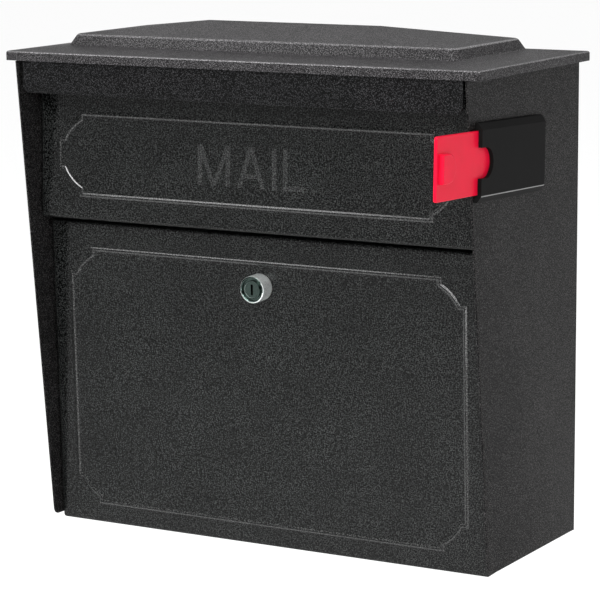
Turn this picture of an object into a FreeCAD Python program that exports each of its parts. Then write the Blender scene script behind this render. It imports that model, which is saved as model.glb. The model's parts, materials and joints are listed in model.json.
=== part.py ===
"""Wall mounted locking mailbox: folded steel case, hipped lid, slot door, access door, lock and flag.

Millimetres, +Z up, the wall is the plane Y = 0 and the front faces -Y. The model is laid out with
Z = 0 at the lower edge of the side panels, and each piece is written with the origin moved to the
middle of the wall screw pattern, on the back face.
"""
import FreeCAD, Part

import math
import os

V = FreeCAD.Vector

# ---- driving dimensions: case ------------------------------------------------------------------
SHEET = 1.5                 # steel sheet of the case, doors and lid
LID_WIDTH = 400.0           # overall width
LID_DEPTH = 190.0           # overall depth, wall to the front of the lid
SIDE_HEIGHT = 362.2         # side panels, lower edge to the lid's rim
SIDE_TAPER = 38.5           # how far the front edge runs back from top to bottom
SIDE_TOE_RADIUS = 5.0       # lower front corner of a side panel
SIDE_FLANGE = 12.0          # folded flange along a side's back edge
SIDE_TOP_FLANGE = 9.0       # folded flange along a side's top edge, under the lid
SIDE_TOP_SETBACK = 4.0      # side panel's top behind the lid's front face, inside the rim
SEAM = 0.2                  # gap at a welded or stacked seam
OVER = 1.0                  # how far a cutter reaches past what it cuts
NEAR = 1e-6                 # tolerance when edges are picked by place
STOP_GAP = 0.4              # gap between a closed door and what stops it

# ---- driving dimensions: lid -------------------------------------------------------------------
LID_OVERHANG = 9.5          # lid past the side panels, each side
LID_RIM = 6.9               # turned-down rim
LID_FLANGE_RISE = 3.1       # slope of the flat flange from the rim to the plateau
LID_FLANGE_SIDE = 32.8      # flange width at the sides
LID_FLANGE_FRONT = 34.0     # flange width at the front
LID_FLANGE_BACK = 38.0      # flange width at the wall
LID_RISER = 8.4             # height of the plateau's edge
LID_RISER_INSET = 4.5       # how far that edge leans in
LID_ROOF_RISE = 9.8         # from the plateau's edge to the ridge
LID_RIDGE = 149.0           # length of the ridge
LID_CORNER = 3.0            # plan radius of the rim's corners
PLATEAU_CORNER = 8.0        # plan radius of the plateau's corners
LID_STUD_RADIUS = 2.5
LID_STUD_FROM_EDGE = 27.0   # stud line from the lid's side edge
LID_STUD_FRONT = 135.0      # front pair from the wall
LID_STUD_BACK = 36.0        # back pair from the wall
LID_STUD_DROP = 12.0        # stud length below the top panel
LID_NUT_ACROSS_FLATS = 8.0
LID_NUT_THICKNESS = 4.0

# ---- driving dimensions: valance, rail, chute --------------------------------------------------
VALANCE_SETBACK = 3.0       # behind the lid's front face
VALANCE_SIDE_GAP = 3.0      # to each side panel
VALANCE_DROP = 24.0         # below the side panels' top edge
VALANCE_CORNER = 6.0
VALANCE_FLANGE = 22.0
TOP_PANEL_FLANGE = 10.0
RAIL_OVERLAP = 10.0         # rail reaches this far below the access door's top edge
RAIL_RISE = 24.0            # rail's sill above the line where the doors meet
RAIL_GAP = 1.5              # behind the access door's flange
RAIL_BEND = 1.2             # radius of the sill's two folds
BAFFLE_DROP = 35.0          # chute baffle, from the sill to its rear edge
BAFFLE_REACH = 61.0         # chute baffle, from the rail towards the wall
BAFFLE_TAB = 12.0
COMB_HEIGHT = 262.0         # height at which the comb leaves the back panel
COMB_TAB = 18.0
COMB_REACH = 43.0
COMB_DROP = 22.0
COMB_TOOTH = 8.0
COMB_TOOTH_LENGTH = 20.0
COMB_PITCH = 16.0
COMB_END_GAP = 1.0          # comb's ends to the side panels' rear flanges

# ---- driving dimensions: doors -----------------------------------------------------------------
DOOR_SPLIT = 238.1          # height of the line between the two doors
DOOR_GAP = 3.5              # between the doors
DOOR_SIDE_GAP = 1.6         # door to side panel
DOOR_FOLD = 12.0            # depth of a door's folded edges
DOOR_BEND = 2.5             # outer radius of a fold
ACCESS_DROP = 3.5           # access door below the side panels
ACCESS_RECESS = 8.0         # door face behind the side panel's lower front corner
ACCESS_LEAN = 1.79          # degrees, top forward
SLOT_STEP = 13.2            # slot door in front of the access door where they meet
SLOT_LEAN = 1.69            # degrees, bottom forward
SLOT_AXIS_DROP = 12.5       # slot hinge below the side panels' top edge
SLOT_ABOVE_AXIS = 4.0
HINGE_DEPTH = 6.5           # hinge axis behind a door's face
ACCESS_AXIS_RISE = 10.0     # access hinge above the door's lower edge
ROD_RADIUS = 2.5
RUN = 0.05                  # running clearance on a rod or a plug
ROD_END_GAP = 0.4
KNUCKLE = 4.5               # outer radius of a hinge bracket's eye
BRACKET_WIDTH = 10.0
BRACKET_ARM = 3.0
BRACKET_NOTCH_GAP = 1.0     # each side of a bracket in the access door's lower fold
BRACKET_SIDE = 155.0        # outer brackets from the middle
SLOT_BRACKET_REACH = 12.0
FLOOR_CLEAR = 12.6          # floor's front lip behind the access hinge axis
FLOOR_LIP = 9.0
JAMB_WIDTH = 14.0
JAMB_DEPTH = 12.0
JAMB_LIFT = 6.2             # jamb's lower end above the access hinge axis: it stops the open door
JAMB_END_GAP = 1.0          # jamb's upper end below the rail
BUMPER_RADIUS = 4.5
BUMPER_HEIGHT = 3.0
BUMPER_SIDE = 120.0
BUMPER_ROUND = 1.0
WEEP_RADIUS = 3.0
WEEP_SPACING = 110.0

# ---- driving dimensions: pressed border and word -----------------------------------------------
BEAD_WIDTH = 4.0
BEAD_HEIGHT = 1.0
BORDER_SIDE = 17.5          # border's centre line from a door's side edges
SLOT_BORDER_LOW = 19.3      # from the slot door's lower edge
SLOT_BORDER_TOP = 32.4      # from the slot door's upper edge
ACCESS_BORDER_LOW = 17.0
ACCESS_BORDER_TOP = 21.0    # from the access door's top edge
NOTCH = 20.0                # corner step-in along each side of the border
NOTCH_STEP = 4.7            # straight step at each end of the corner's arc
NOTCH_ARC = 34.0            # radius of that arc, which swells towards the corner
LETTER_HEIGHT = 31.0
LETTER_STROKE = 4.4
LETTER_RAISE = 0.8
LETTER_GAP = 5.2
LETTER_DROP = 2.0           # middle of the word below the middle of its border
M_WIDTH = 28.8
A_WIDTH = 24.8
L_WIDTH = 18.0
A_BAR_LOW = 7.4             # foot and top of the A's crossbar
A_BAR_HIGH = 11.2
A_BAR_LAP = 2.6             # crossbar's top corners inside the legs' inner edges

# ---- driving dimensions: lock ------------------------------------------------------------------
LOCK_BELOW_TOP = 39.0       # lock axis below the access door's top edge
LOCK_HEAD_RADIUS = 10.2
LOCK_HEAD_LENGTH = 13.0
LOCK_BARREL_RADIUS = 8.5
LOCK_BARREL_LENGTH = 16.0
LOCK_GROOVE_OUTER = 8.6
LOCK_GROOVE_INNER = 6.9
LOCK_GROOVE_DEPTH = 2.0
PLUG_RADIUS = 6.0
PLUG_SINK = 0.6
KEYWAY_WIDTH = 1.8
KEYWAY_HEIGHT = 8.0
KEYWAY_END = 4.0            # keyway stops in front of the barrel's rear end
LOCK_HEAD_ROUND = 1.0
WAFER_COUNT = 5
WAFER_PITCH = 3.0
WAFER_THICKNESS = 0.8
WAFER_WIDTH = 6.0
WAFER_HEIGHT = 9.8
WAFER_WINDOW_WIDTH = 2.8
WAFER_WINDOW_HEIGHT = 6.4
WAFER_SLOT_WIDTH = 6.4
PLATE_SIZE = 44.0
PLATE_THICKNESS = 2.0
NUT_THICKNESS = 4.0
NUT_ACROSS_FLATS = 24.0
CAM_THICKNESS = 2.0
CAM_GAP = 1.0               # cam behind the lock's barrel
CAM_LENGTH = 36.0
CAM_WIDTH = 14.0
CAM_SQUARE = 6.0
CAM_HUB_RADIUS = 8.5
CAM_TIP_RADIUS = 3.0
CAM_SCREW_RADIUS = 2.0
CAM_SCREW_HEAD = 5.0
CAM_SCREW_HEAD_HEIGHT = 3.0
CAM_SCREW_HEAD_ROUND = 0.8
CAM_SCREW_GRIP = 2.0        # screw inside the barrel's rear end
CAM_SCREW_SLOT_WIDTH = 1.2
CAM_SCREW_SLOT_DEPTH = 1.2

# ---- driving dimensions: flag ------------------------------------------------------------------
HOLDER_LENGTH = 105.0
HOLDER_HEIGHT = 56.0        # at its base
HOLDER_PROUD = 6.0
HOLDER_BEVEL = 4.6
HOLDER_BEVEL_START = 2.6
HOLDER_BELOW_TOP = 58.0     # middle of the flag below the side panels' top edge
HOLDER_SETBACK = 6.0        # behind the side panel's front edge
FLAG_TILT = 2.1             # degrees, rear end down
FLAG_HEIGHT = 45.0
FLAG_THICKNESS = 2.5
FLAG_OUT = 63.5             # flag in front of its holder when pulled out
FLAG_TAIL = 33.0            # flag inside its holder when pulled out
FLAG_CORNER = 2.0
FLAG_CLEAR = 0.3
RIB_LENGTH = 3.0
RIB_HEIGHT = 0.9
GRIP_FROM_EDGE = 4.0
GRIP_LENGTH = 19.5
GRIP_HEIGHT = 20.8
GRIP_PROUD = 3.4
GRIP_CLEAR = 0.5
NOTCH_DEPTH = 18.6          # finger notch in the holder
HOLDER_SCREW_RADIUS = 1.25
HOLDER_SCREW_FRONT = 53.0   # front pair behind the holder's front end
HOLDER_SCREW_BACK = 6.0     # back pair from the holder's rear end
HOLDER_SCREW_DEPTH = 3.0
HOLDER_SCREW_HEAD = 2.6
HOLDER_SCREW_HEAD_HEIGHT = 1.8
HOLDER_SCREW_SLOT = 0.8     # width and depth of its slot
FLAG_RUN_SPARE = 2.0        # channel past the flag's tail when it is pushed in

# ---- driving dimensions: wall screws -----------------------------------------------------------
MOUNT_HEIGHT = 130.0        # middle of the pattern above the side panels' lower edge
MOUNT_SPACING_X = 254.0
MOUNT_SPACING_Z = 152.4
MOUNT_HOLE_RADIUS = 3.5

# ---- worked out --------------------------------------------------------------------------------
BODY_HALF = LID_WIDTH / 2 - LID_OVERHANG
INNER_HALF = BODY_HALF - SHEET
DOOR_HALF = INNER_HALF - DOOR_SIDE_GAP
BACK_INNER = -2 * SHEET                     # in front of the back panel and the sides' rear flanges
SIDE_TOE = -(LID_DEPTH - SIDE_TAPER)        # front edge at the bottom
LID_RIM_LOW = SIDE_HEIGHT + SEAM
LID_EDGE = LID_RIM_LOW + LID_RIM
LID_PLATEAU = LID_EDGE + LID_FLANGE_RISE
LID_EAVES = LID_PLATEAU + LID_RISER
LID_RIDGE_HEIGHT = LID_EAVES + LID_ROOF_RISE
TOP_PANEL_LOW = LID_EDGE - 4 * SHEET - 2 * SEAM   # below the valance's fold, the sides' top flange and the lid

ACCESS_HEIGHT = (DOOR_SPLIT - DOOR_GAP / 2 + ACCESS_DROP) / math.cos(math.radians(ACCESS_LEAN))
ACCESS_ORIGIN = V(0, SIDE_TOE + ACCESS_RECESS, -ACCESS_DROP)
ROD_HALF = INNER_HALF - ROD_END_GAP
BRACKET_PLACES = (-BRACKET_SIDE, 0.0, BRACKET_SIDE)
LOCK_UP = ACCESS_HEIGHT - LOCK_BELOW_TOP
CAM_BACK = LOCK_BARREL_LENGTH + CAM_GAP + CAM_THICKNESS


def leaned(point_or_shape, origin, degrees):
    """Turn a door's own upright frame about X by degrees and put its origin in place."""
    if isinstance(point_or_shape, FreeCAD.Vector):
        rotation = FreeCAD.Rotation(V(1, 0, 0), degrees)
        return rotation.multVec(point_or_shape) + origin
    shape = point_or_shape.copy()
    shape.rotate(V(0, 0, 0), V(1, 0, 0), degrees)
    shape.translate(origin)
    return shape


def access_place(item):
    """From the access door's frame: Y inwards from its face, Z up from its lower edge."""
    return leaned(item, ACCESS_ORIGIN, ACCESS_LEAN)


ACCESS_TOP_FRONT = access_place(V(0, 0, ACCESS_HEIGHT))
ACCESS_TOP_REAR = access_place(V(0, DOOR_FOLD, ACCESS_HEIGHT))
ACCESS_AXIS = access_place(V(0, HINGE_DEPTH, ACCESS_AXIS_RISE))
SLOT_ORIGIN = V(0, ACCESS_TOP_FRONT.y - SLOT_STEP, DOOR_SPLIT + DOOR_GAP / 2)
SLOT_TO_AXIS = (SIDE_HEIGHT - SLOT_AXIS_DROP - SLOT_ORIGIN.z) / math.cos(math.radians(SLOT_LEAN))


def slot_place(item):
    """From the slot door's frame: Y inwards from its face, Z up from its lower edge."""
    return leaned(item, SLOT_ORIGIN, -SLOT_LEAN)


SLOT_AXIS = slot_place(V(0, HINGE_DEPTH, SLOT_TO_AXIS))
SLOT_REST = slot_place(V(0, DOOR_FOLD, 0)).y            # rear edge of the slot door's lower fold
RAIL_WEB = ACCESS_TOP_REAR.y + RAIL_GAP                 # front face of the rail's web
RAIL_LOW = ACCESS_TOP_FRONT.z - RAIL_OVERLAP
RAIL_TOP = DOOR_SPLIT + RAIL_RISE
RAIL_LIP = SLOT_REST + STOP_GAP + BUMPER_HEIGHT         # front face of the rail's lip
RAIL_LIP_LOW = SLOT_ORIGIN.z - SHEET
FLOOR_FRONT = ACCESS_AXIS.y + FLOOR_CLEAR

HOLDER_Z = SIDE_HEIGHT - HOLDER_BELOW_TOP
HOLDER_FRONT = -LID_DEPTH + SIDE_TAPER * HOLDER_BELOW_TOP / SIDE_HEIGHT + HOLDER_SETBACK
FLAG_INNER = BODY_HALF + FLAG_CLEAR
FLAG_FACE = FLAG_INNER + FLAG_THICKNESS
HOLDER_FACE = BODY_HALF + HOLDER_PROUD
FLAG_FRONT = HOLDER_FRONT - FLAG_OUT
FLAG_REAR = HOLDER_FRONT + FLAG_TAIL
GRIP_REAR = FLAG_FRONT + GRIP_FROM_EDGE + GRIP_LENGTH
FLAG_TRAVEL = HOLDER_FRONT + NOTCH_DEPTH - GRIP_CLEAR - GRIP_REAR
HOLDER_WALL = (HOLDER_HEIGHT / 2 + FLAG_HEIGHT / 2 + FLAG_CLEAR) / 2


def box(low, high):
    """Solid block between two corners, each given as (x, y, z)."""
    size = [b - a for a, b in zip(low, high)]
    return Part.makeBox(size[0], size[1], size[2], V(*low))


def cylinder_x(radius, x_low, x_high, y, z):
    """Solid cylinder along X."""
    return Part.makeCylinder(radius, x_high - x_low, V(x_low, y, z), V(1, 0, 0))


def cylinder_y(radius, y_low, y_high, x, z):
    """Solid cylinder along Y."""
    return Part.makeCylinder(radius, y_high - y_low, V(x, y_low, z), V(0, 1, 0))


def cylinder_z(radius, z_low, z_high, x, y):
    """Solid cylinder along Z."""
    return Part.makeCylinder(radius, z_high - z_low, V(x, y, z_low), V(0, 0, 1))


def fused(shapes):
    """One clean solid from overlapping or touching shapes."""
    return shapes[0].multiFuse(shapes[1:]).removeSplitter()


def prism_x(outline, x_low, x_high):
    """Extrude a closed outline of (y, z) points along X."""
    points = [V(x_low, y, z) for y, z in outline]
    face = Part.Face(Part.makePolygon(points + points[:1]))
    return face.extrude(V(x_high - x_low, 0, 0))


def rounded(shape, radius, wanted):
    """Fillet the edges for which wanted(edge) is true."""
    edges = [edge for edge in shape.Edges if wanted(edge)]
    return shape.makeFillet(radius, edges)


def along(edge, axis):
    """True when a straight edge runs along an axis, given as 0, 1 or 2."""
    ends = [vertex.Point for vertex in edge.Vertexes]
    if len(ends) != 2:
        return False
    step = ends[1] - ends[0]
    return abs(abs(step[axis]) - step.Length) < NEAR


def folded_pan(half_width, height, depth):
    """Sheet pan open at the back: face at Y = 0, folded edges reaching Y = depth."""
    outer = box((-half_width, 0, 0), (half_width, depth, height))
    outer = rounded(outer, DOOR_BEND, lambda e: along(e, 1) or e.CenterOfMass.y < NEAR)
    inner = box((SHEET - half_width, SHEET, SHEET), (half_width - SHEET, depth + OVER, height - SHEET))
    inner = rounded(inner, DOOR_BEND - SHEET, lambda e: along(e, 1) or e.CenterOfMass.y < SHEET + NEAR)
    return outer.cut(inner)


def ring(points, following):
    """Edges of one stepped corner, line, arc and line, and the straight run to the next corner."""
    return [
        Part.LineSegment(points[0], points[1]).toShape(),
        Part.Arc(points[1], points[2], points[3]).toShape(),
        Part.LineSegment(points[3], points[4]).toShape(),
        Part.LineSegment(points[4], following).toShape(),
    ]


def border_face(low, high, half_width, grow):
    """Area inside a door's border in the plane Y = 0, with its outline moved outwards by grow."""
    reach = NOTCH - grow
    radius = NOTCH_ARC + grow
    centre = (NOTCH + NOTCH_STEP) / 2 + math.sqrt(NOTCH_ARC ** 2 / 2 - ((NOTCH - NOTCH_STEP) / 2) ** 2)
    rise = centre - math.sqrt(radius ** 2 - (centre - reach) ** 2)
    middle = centre - radius * math.cos(math.pi / 4)
    corner = [(-grow, reach), (rise, reach), (middle, middle), (reach, rise), (reach, -grow)]
    turns = ((-half_width, low, 1, 1), (half_width, low, -1, 1), (half_width, high, -1, -1),
             (-half_width, high, 1, -1))
    runs = []
    for x, z, towards_x, towards_z in turns:
        run = [V(x + towards_x * a, 0, z + towards_z * b) for a, b in corner]
        runs.append(run if towards_x == towards_z else run[::-1])
    edges = []
    for run, following in zip(runs, runs[1:] + runs[:1]):
        edges += ring(run, following[0])
    return Part.Face(Part.Wire(edges))


def border_bead(low, high, half_width):
    """Raised bead along a door's border."""
    band = border_face(low, high, half_width, BEAD_WIDTH / 2)
    band = band.cut(border_face(low, high, half_width, -BEAD_WIDTH / 2))
    band.translate(V(0, SHEET / 2, 0))
    return band.extrude(V(0, -SHEET / 2 - BEAD_HEIGHT, 0))


def stroke(outline, x, z):
    """One straight stroke of a letter from its (x, z) outline, raised from the door's face."""
    points = [V(x + a, SHEET / 2, z + b) for a, b in outline]
    face = Part.Face(Part.makePolygon(points + points[:1]))
    return face.extrude(V(0, -SHEET / 2 - LETTER_RAISE, 0))


def word(z_middle):
    """The plain raised word, in block letters of one stroke width, centred on the door."""
    tall = LETTER_HEIGHT
    wide = LETTER_STROKE
    upright = ((0, 0), (wide, 0), (wide, tall), (0, tall))
    m_foot = (((M_WIDTH + wide) / 2, 0), ((M_WIDTH - wide) / 2, 0))
    a_peak = (((A_WIDTH + wide) / 2, tall), ((A_WIDTH - wide) / 2, tall))
    letters = (
        (M_WIDTH, (
            upright,
            ((M_WIDTH - wide, 0), (M_WIDTH, 0), (M_WIDTH, tall), (M_WIDTH - wide, tall)),
            ((0, tall), (wide, tall)) + m_foot,
            ((M_WIDTH - wide, tall), (M_WIDTH, tall)) + m_foot,
        )),
        (A_WIDTH, (
            ((0, 0), (wide, 0)) + a_peak,
            ((A_WIDTH - wide, 0), (A_WIDTH, 0)) + a_peak,
            ((wide, A_BAR_LOW), (A_WIDTH - wide, A_BAR_LOW), (A_WIDTH - wide - A_BAR_LAP, A_BAR_HIGH),
             (wide + A_BAR_LAP, A_BAR_HIGH)),
        )),
        (wide, (upright,)),
        (L_WIDTH, (
            upright,
            ((0, 0), (L_WIDTH, 0), (L_WIDTH, wide), (0, wide)),
        )),
    )
    total = sum(width for width, _ in letters) + LETTER_GAP * (len(letters) - 1)
    strokes = []
    x = -total / 2
    for width, outlines in letters:
        strokes += [stroke(outline, x, z_middle - tall / 2) for outline in outlines]
        x += width + LETTER_GAP
    return strokes


# ---- case --------------------------------------------------------------------------------------
def back_panel():
    """Flat back with the four wall screw holes."""
    shape = box((-BODY_HALF, -SHEET, 0), (BODY_HALF, 0, SIDE_HEIGHT))
    for x, z in wall_screws():
        shape = shape.cut(cylinder_y(MOUNT_HOLE_RADIUS, -SHEET - OVER, OVER, x, z))
    return shape


def wall_screws():
    """Places of the wall screws as (x, z)."""
    half_x = MOUNT_SPACING_X / 2
    half_z = MOUNT_SPACING_Z / 2
    return [(x, MOUNT_HEIGHT + z) for x in (-half_x, half_x) for z in (-half_z, half_z)]


def side_panel():
    """Left side panel: tapered sheet with a rear flange, and a top flange under the lid."""
    top = LID_EDGE - SHEET - SEAM
    lip = -LID_DEPTH + SIDE_TOP_SETBACK
    outline = [(SIDE_TOE, 0), (-LID_DEPTH, SIDE_HEIGHT), (lip, SIDE_HEIGHT), (lip, top), (-SHEET, top),
               (-SHEET, 0)]
    sheet = prism_x(outline, -BODY_HALF, -INNER_HALF)
    sheet = rounded(sheet, SIDE_TOE_RADIUS,
                    lambda e: along(e, 0) and e.CenterOfMass.z < NEAR and e.CenterOfMass.y < -SIDE_TOE_RADIUS)
    rear = box((-INNER_HALF, BACK_INNER, 0), (SIDE_FLANGE - INNER_HALF, -SHEET, SIDE_HEIGHT))
    cap = box((-INNER_HALF, lip, top - SHEET), (SIDE_TOP_FLANGE - INNER_HALF, BACK_INNER, top))
    return fused([sheet, rear, cap])


def mirrored(shape):
    """The same piece for the other side."""
    return shape.mirror(V(0, 0, 0), V(1, 0, 0))


def right_side_panel():
    """Mirror of the left panel, with the four holes of the flag holder's screws."""
    shape = mirrored(side_panel())
    for y, z in holder_screws():
        hole = cylinder_x(HOLDER_SCREW_RADIUS + RUN, INNER_HALF - OVER, BODY_HALF + OVER, y, z)
        shape = shape.cut(flag_place(hole))
    return shape


def floor_panel():
    """Folded floor tray with three weep holes."""
    depth = BACK_INNER - FLOOR_FRONT
    tray = folded_pan(INNER_HALF, depth, FLOOR_LIP)
    tray.rotate(V(0, 0, 0), V(1, 0, 0), 90)
    tray.translate(V(0, BACK_INNER, 0))
    for x in (-WEEP_SPACING, 0, WEEP_SPACING):
        tray = tray.cut(cylinder_z(WEEP_RADIUS, -OVER, SHEET + OVER, x, FLOOR_FRONT + depth / 4))
    return tray


def top_panel():
    """Flat body top with side flanges and the holes of the lid's studs."""
    front = -(LID_DEPTH - VALANCE_SETBACK - SHEET)
    flat = box((-INNER_HALF, front, TOP_PANEL_LOW), (INNER_HALF, BACK_INNER, TOP_PANEL_LOW + SHEET))
    low = TOP_PANEL_LOW - TOP_PANEL_FLANGE
    flange_front = SLOT_AXIS.y + DOOR_FOLD
    left = box((-INNER_HALF, flange_front, low), (SHEET - INNER_HALF, BACK_INNER - SHEET, TOP_PANEL_LOW))
    shape = fused([flat, left, mirrored(left)])
    for x, y in lid_stud_places():
        shape = shape.cut(cylinder_z(LID_STUD_RADIUS + RUN, low, TOP_PANEL_LOW + SHEET + OVER, x, y))
    return shape


# ---- lid ---------------------------------------------------------------------------------------
def lid_outline(inset_side, inset_front, inset_back, z, radius):
    """Rounded rectangle of the lid's plan at height z."""
    x = LID_WIDTH / 2 - inset_side
    front = -LID_DEPTH + inset_front
    back = -inset_back
    turn = radius * (1 - math.cos(math.pi / 4))
    edges = []
    corners = ((-x, front, 1, 1), (x, front, -1, 1), (x, back, -1, -1), (-x, back, 1, -1))
    runs = []
    for cx, cy, towards_x, towards_y in corners:
        run = [V(cx, cy + towards_y * radius, z), V(cx + towards_x * turn, cy + towards_y * turn, z),
               V(cx + towards_x * radius, cy, z)]
        runs.append(run if towards_x == towards_y else run[::-1])
    for run, following in zip(runs, runs[1:] + runs[:1]):
        edges.append(Part.Arc(*run).toShape())
        edges.append(Part.LineSegment(run[2], following[0]).toShape())
    return Part.Wire(edges)


def hip_roof(inset, eaves):
    """Hipped roof over the plateau, from its eaves to the ridge."""
    side = LID_WIDTH / 2 - LID_FLANGE_SIDE - LID_RISER_INSET - inset
    front = -LID_DEPTH + LID_FLANGE_FRONT + LID_RISER_INSET + inset
    back = -LID_FLANGE_BACK - LID_RISER_INSET - inset
    ridge_y = (front + back) / 2
    ridge_z = eaves + LID_ROOF_RISE
    a = V(-side, front, eaves)
    b = V(side, front, eaves)
    c = V(side, back, eaves)
    d = V(-side, back, eaves)
    e = V(-LID_RIDGE / 2, ridge_y, ridge_z)
    f = V(LID_RIDGE / 2, ridge_y, ridge_z)
    faces = [Part.Face(Part.makePolygon(loop + loop[:1]))
             for loop in ([a, b, c, d], [a, b, f, e], [b, c, f], [c, d, e, f], [d, a, e])]
    return Part.Solid(Part.makeShell(faces))


def lid_form(inset, low):
    """Solid shape of the lid: rim, sloping flange, riser and hipped roof, made smaller by inset."""
    rise = [
        (0, 0, 0, low, LID_CORNER),
        (0, 0, 0, LID_EDGE - inset, LID_CORNER),
        (LID_FLANGE_SIDE, LID_FLANGE_FRONT, LID_FLANGE_BACK, LID_PLATEAU - inset, PLATEAU_CORNER),
        (LID_FLANGE_SIDE + LID_RISER_INSET, LID_FLANGE_FRONT + LID_RISER_INSET,
         LID_FLANGE_BACK + LID_RISER_INSET, LID_EAVES - inset, PLATEAU_CORNER),
    ]
    wires = [lid_outline(side + inset, front + inset, back + inset, z, radius - inset)
             for side, front, back, z, radius in rise]
    base = Part.makeLoft(wires, True, True)
    prism = Part.Face(wires[-1]).extrude(V(0, 0, LID_ROOF_RISE + OVER))
    roof = hip_roof(inset, LID_EAVES - inset).common(prism)
    return fused([base, roof])


def lid():
    """Pressed lid, one sheet thick."""
    return lid_form(0, LID_RIM_LOW).cut(lid_form(SHEET, LID_RIM_LOW - OVER))


def lid_stud_places():
    """Places of the lid's studs as (x, y)."""
    x = LID_WIDTH / 2 - LID_STUD_FROM_EDGE
    return [(side * x, -y) for side in (-1, 1) for y in (LID_STUD_FRONT, LID_STUD_BACK)]


def lid_studs():
    """Four weld studs from the lid's flange down through the top panel."""
    under = LID_EDGE - SHEET + LID_FLANGE_RISE * min(1, LID_STUD_FROM_EDGE / LID_FLANGE_SIDE) - 3 * SEAM
    low = TOP_PANEL_LOW - LID_STUD_DROP
    return Part.makeCompound([cylinder_z(LID_STUD_RADIUS, low, under, x, y) for x, y in lid_stud_places()])


def hexagon(across_flats, thickness):
    """Hexagonal block standing on Z = 0."""
    radius = across_flats / math.sqrt(3)
    points = [V(radius * math.cos(math.radians(a)), radius * math.sin(math.radians(a)), 0)
              for a in range(0, 420, 60)]
    return Part.Face(Part.makePolygon(points)).extrude(V(0, 0, thickness))


def lid_nuts():
    """Four nuts under the top panel."""
    nuts = []
    for x, y in lid_stud_places():
        nut = hexagon(LID_NUT_ACROSS_FLATS, LID_NUT_THICKNESS)
        nut.translate(V(x, y, TOP_PANEL_LOW - LID_NUT_THICKNESS))
        nuts.append(nut.cut(cylinder_z(LID_STUD_RADIUS + RUN, 0, SIDE_HEIGHT * 2, x, y)))
    return Part.makeCompound(nuts)


def front_valance():
    """Hood strip under the lid's front, folded back onto the top panel."""
    half = INNER_HALF - VALANCE_SIDE_GAP
    front = -LID_DEPTH + VALANCE_SETBACK
    top = TOP_PANEL_LOW + 2 * SHEET
    face = box((-half, front, SIDE_HEIGHT - VALANCE_DROP), (half, front + SHEET, top))
    face = rounded(face, VALANCE_CORNER,
                   lambda e: along(e, 1) and e.CenterOfMass.z < SIDE_HEIGHT - VALANCE_DROP + NEAR)
    fold = box((-half, front, top - SHEET), (half, front + VALANCE_FLANGE, top))
    return fused([face, fold])


# ---- rail, jambs, chute ------------------------------------------------------------------------
def cross_rail():
    """Rail between the sides: web behind the access door, sill, and lip behind the slot door."""
    half = INNER_HALF
    web = box((-half, RAIL_WEB, RAIL_LOW), (half, RAIL_WEB + SHEET, RAIL_TOP))
    sill = box((-half, RAIL_LIP, RAIL_TOP - SHEET), (half, RAIL_WEB + SHEET, RAIL_TOP))
    lip = box((-half, RAIL_LIP, RAIL_LIP_LOW), (half, RAIL_LIP + SHEET, RAIL_TOP))
    shape = fused([web, sill, lip])
    return rounded(shape, RAIL_BEND, lambda e: along(e, 0) and e.CenterOfMass.z > RAIL_TOP - NEAR)


def door_jamb():
    """Left jamb: angle along the side panel that the access door closes against."""
    near = DOOR_FOLD + STOP_GAP
    low = ACCESS_AXIS_RISE + JAMB_LIFT
    high = ACCESS_HEIGHT - RAIL_OVERLAP - JAMB_END_GAP
    face = box((-INNER_HALF, near, low), (JAMB_WIDTH - INNER_HALF, near + SHEET, high))
    leg = box((-INNER_HALF, near, low), (SHEET - INNER_HALF, near + JAMB_DEPTH, high))
    return access_place(fused([face, leg]))


def chute_baffle():
    """Sloping chute behind the sill."""
    y = RAIL_WEB + SHEET
    z = RAIL_TOP - SHEET
    fall = SHEET / math.cos(math.atan2(BAFFLE_DROP, BAFFLE_REACH))
    slope = [(y, z), (y + BAFFLE_REACH, z - BAFFLE_DROP), (y + BAFFLE_REACH, z - BAFFLE_DROP - fall),
             (y, z - fall)]
    tab = box((-INNER_HALF, y, z - BAFFLE_TAB), (INNER_HALF, y + SHEET, z - SHEET))
    return fused([prism_x(slope, -INNER_HALF, INNER_HALF), tab])


def fish_comb():
    """Toothed strip that slopes forward and down from the back panel."""
    half = INNER_HALF - SIDE_FLANGE - COMB_END_GAP
    fall = SHEET / math.cos(math.atan2(COMB_DROP, COMB_REACH))
    y = BACK_INNER
    tip = y - COMB_REACH
    tab = box((-half, y, COMB_HEIGHT - fall), (half, -SHEET, COMB_HEIGHT + COMB_TAB))
    slope = [(y + SHEET / 2, COMB_HEIGHT), (tip, COMB_HEIGHT - COMB_DROP),
             (tip, COMB_HEIGHT - COMB_DROP - fall), (y + SHEET / 2, COMB_HEIGHT - fall)]
    shape = fused([tab, prism_x(slope, -half, half)])
    count = int((2 * half - COMB_TOOTH) / COMB_PITCH)
    first = -COMB_PITCH * (count - 1) / 2
    gaps = []
    for index in range(count):
        middle = first + index * COMB_PITCH
        gaps.append(box((middle - COMB_PITCH / 2 + COMB_TOOTH / 2, tip - OVER, COMB_HEIGHT - 2 * COMB_DROP),
                        (middle + COMB_PITCH / 2 - COMB_TOOTH / 2, tip + COMB_TOOTH_LENGTH, COMB_HEIGHT)))
    return shape.cut(Part.makeCompound(gaps))


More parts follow.
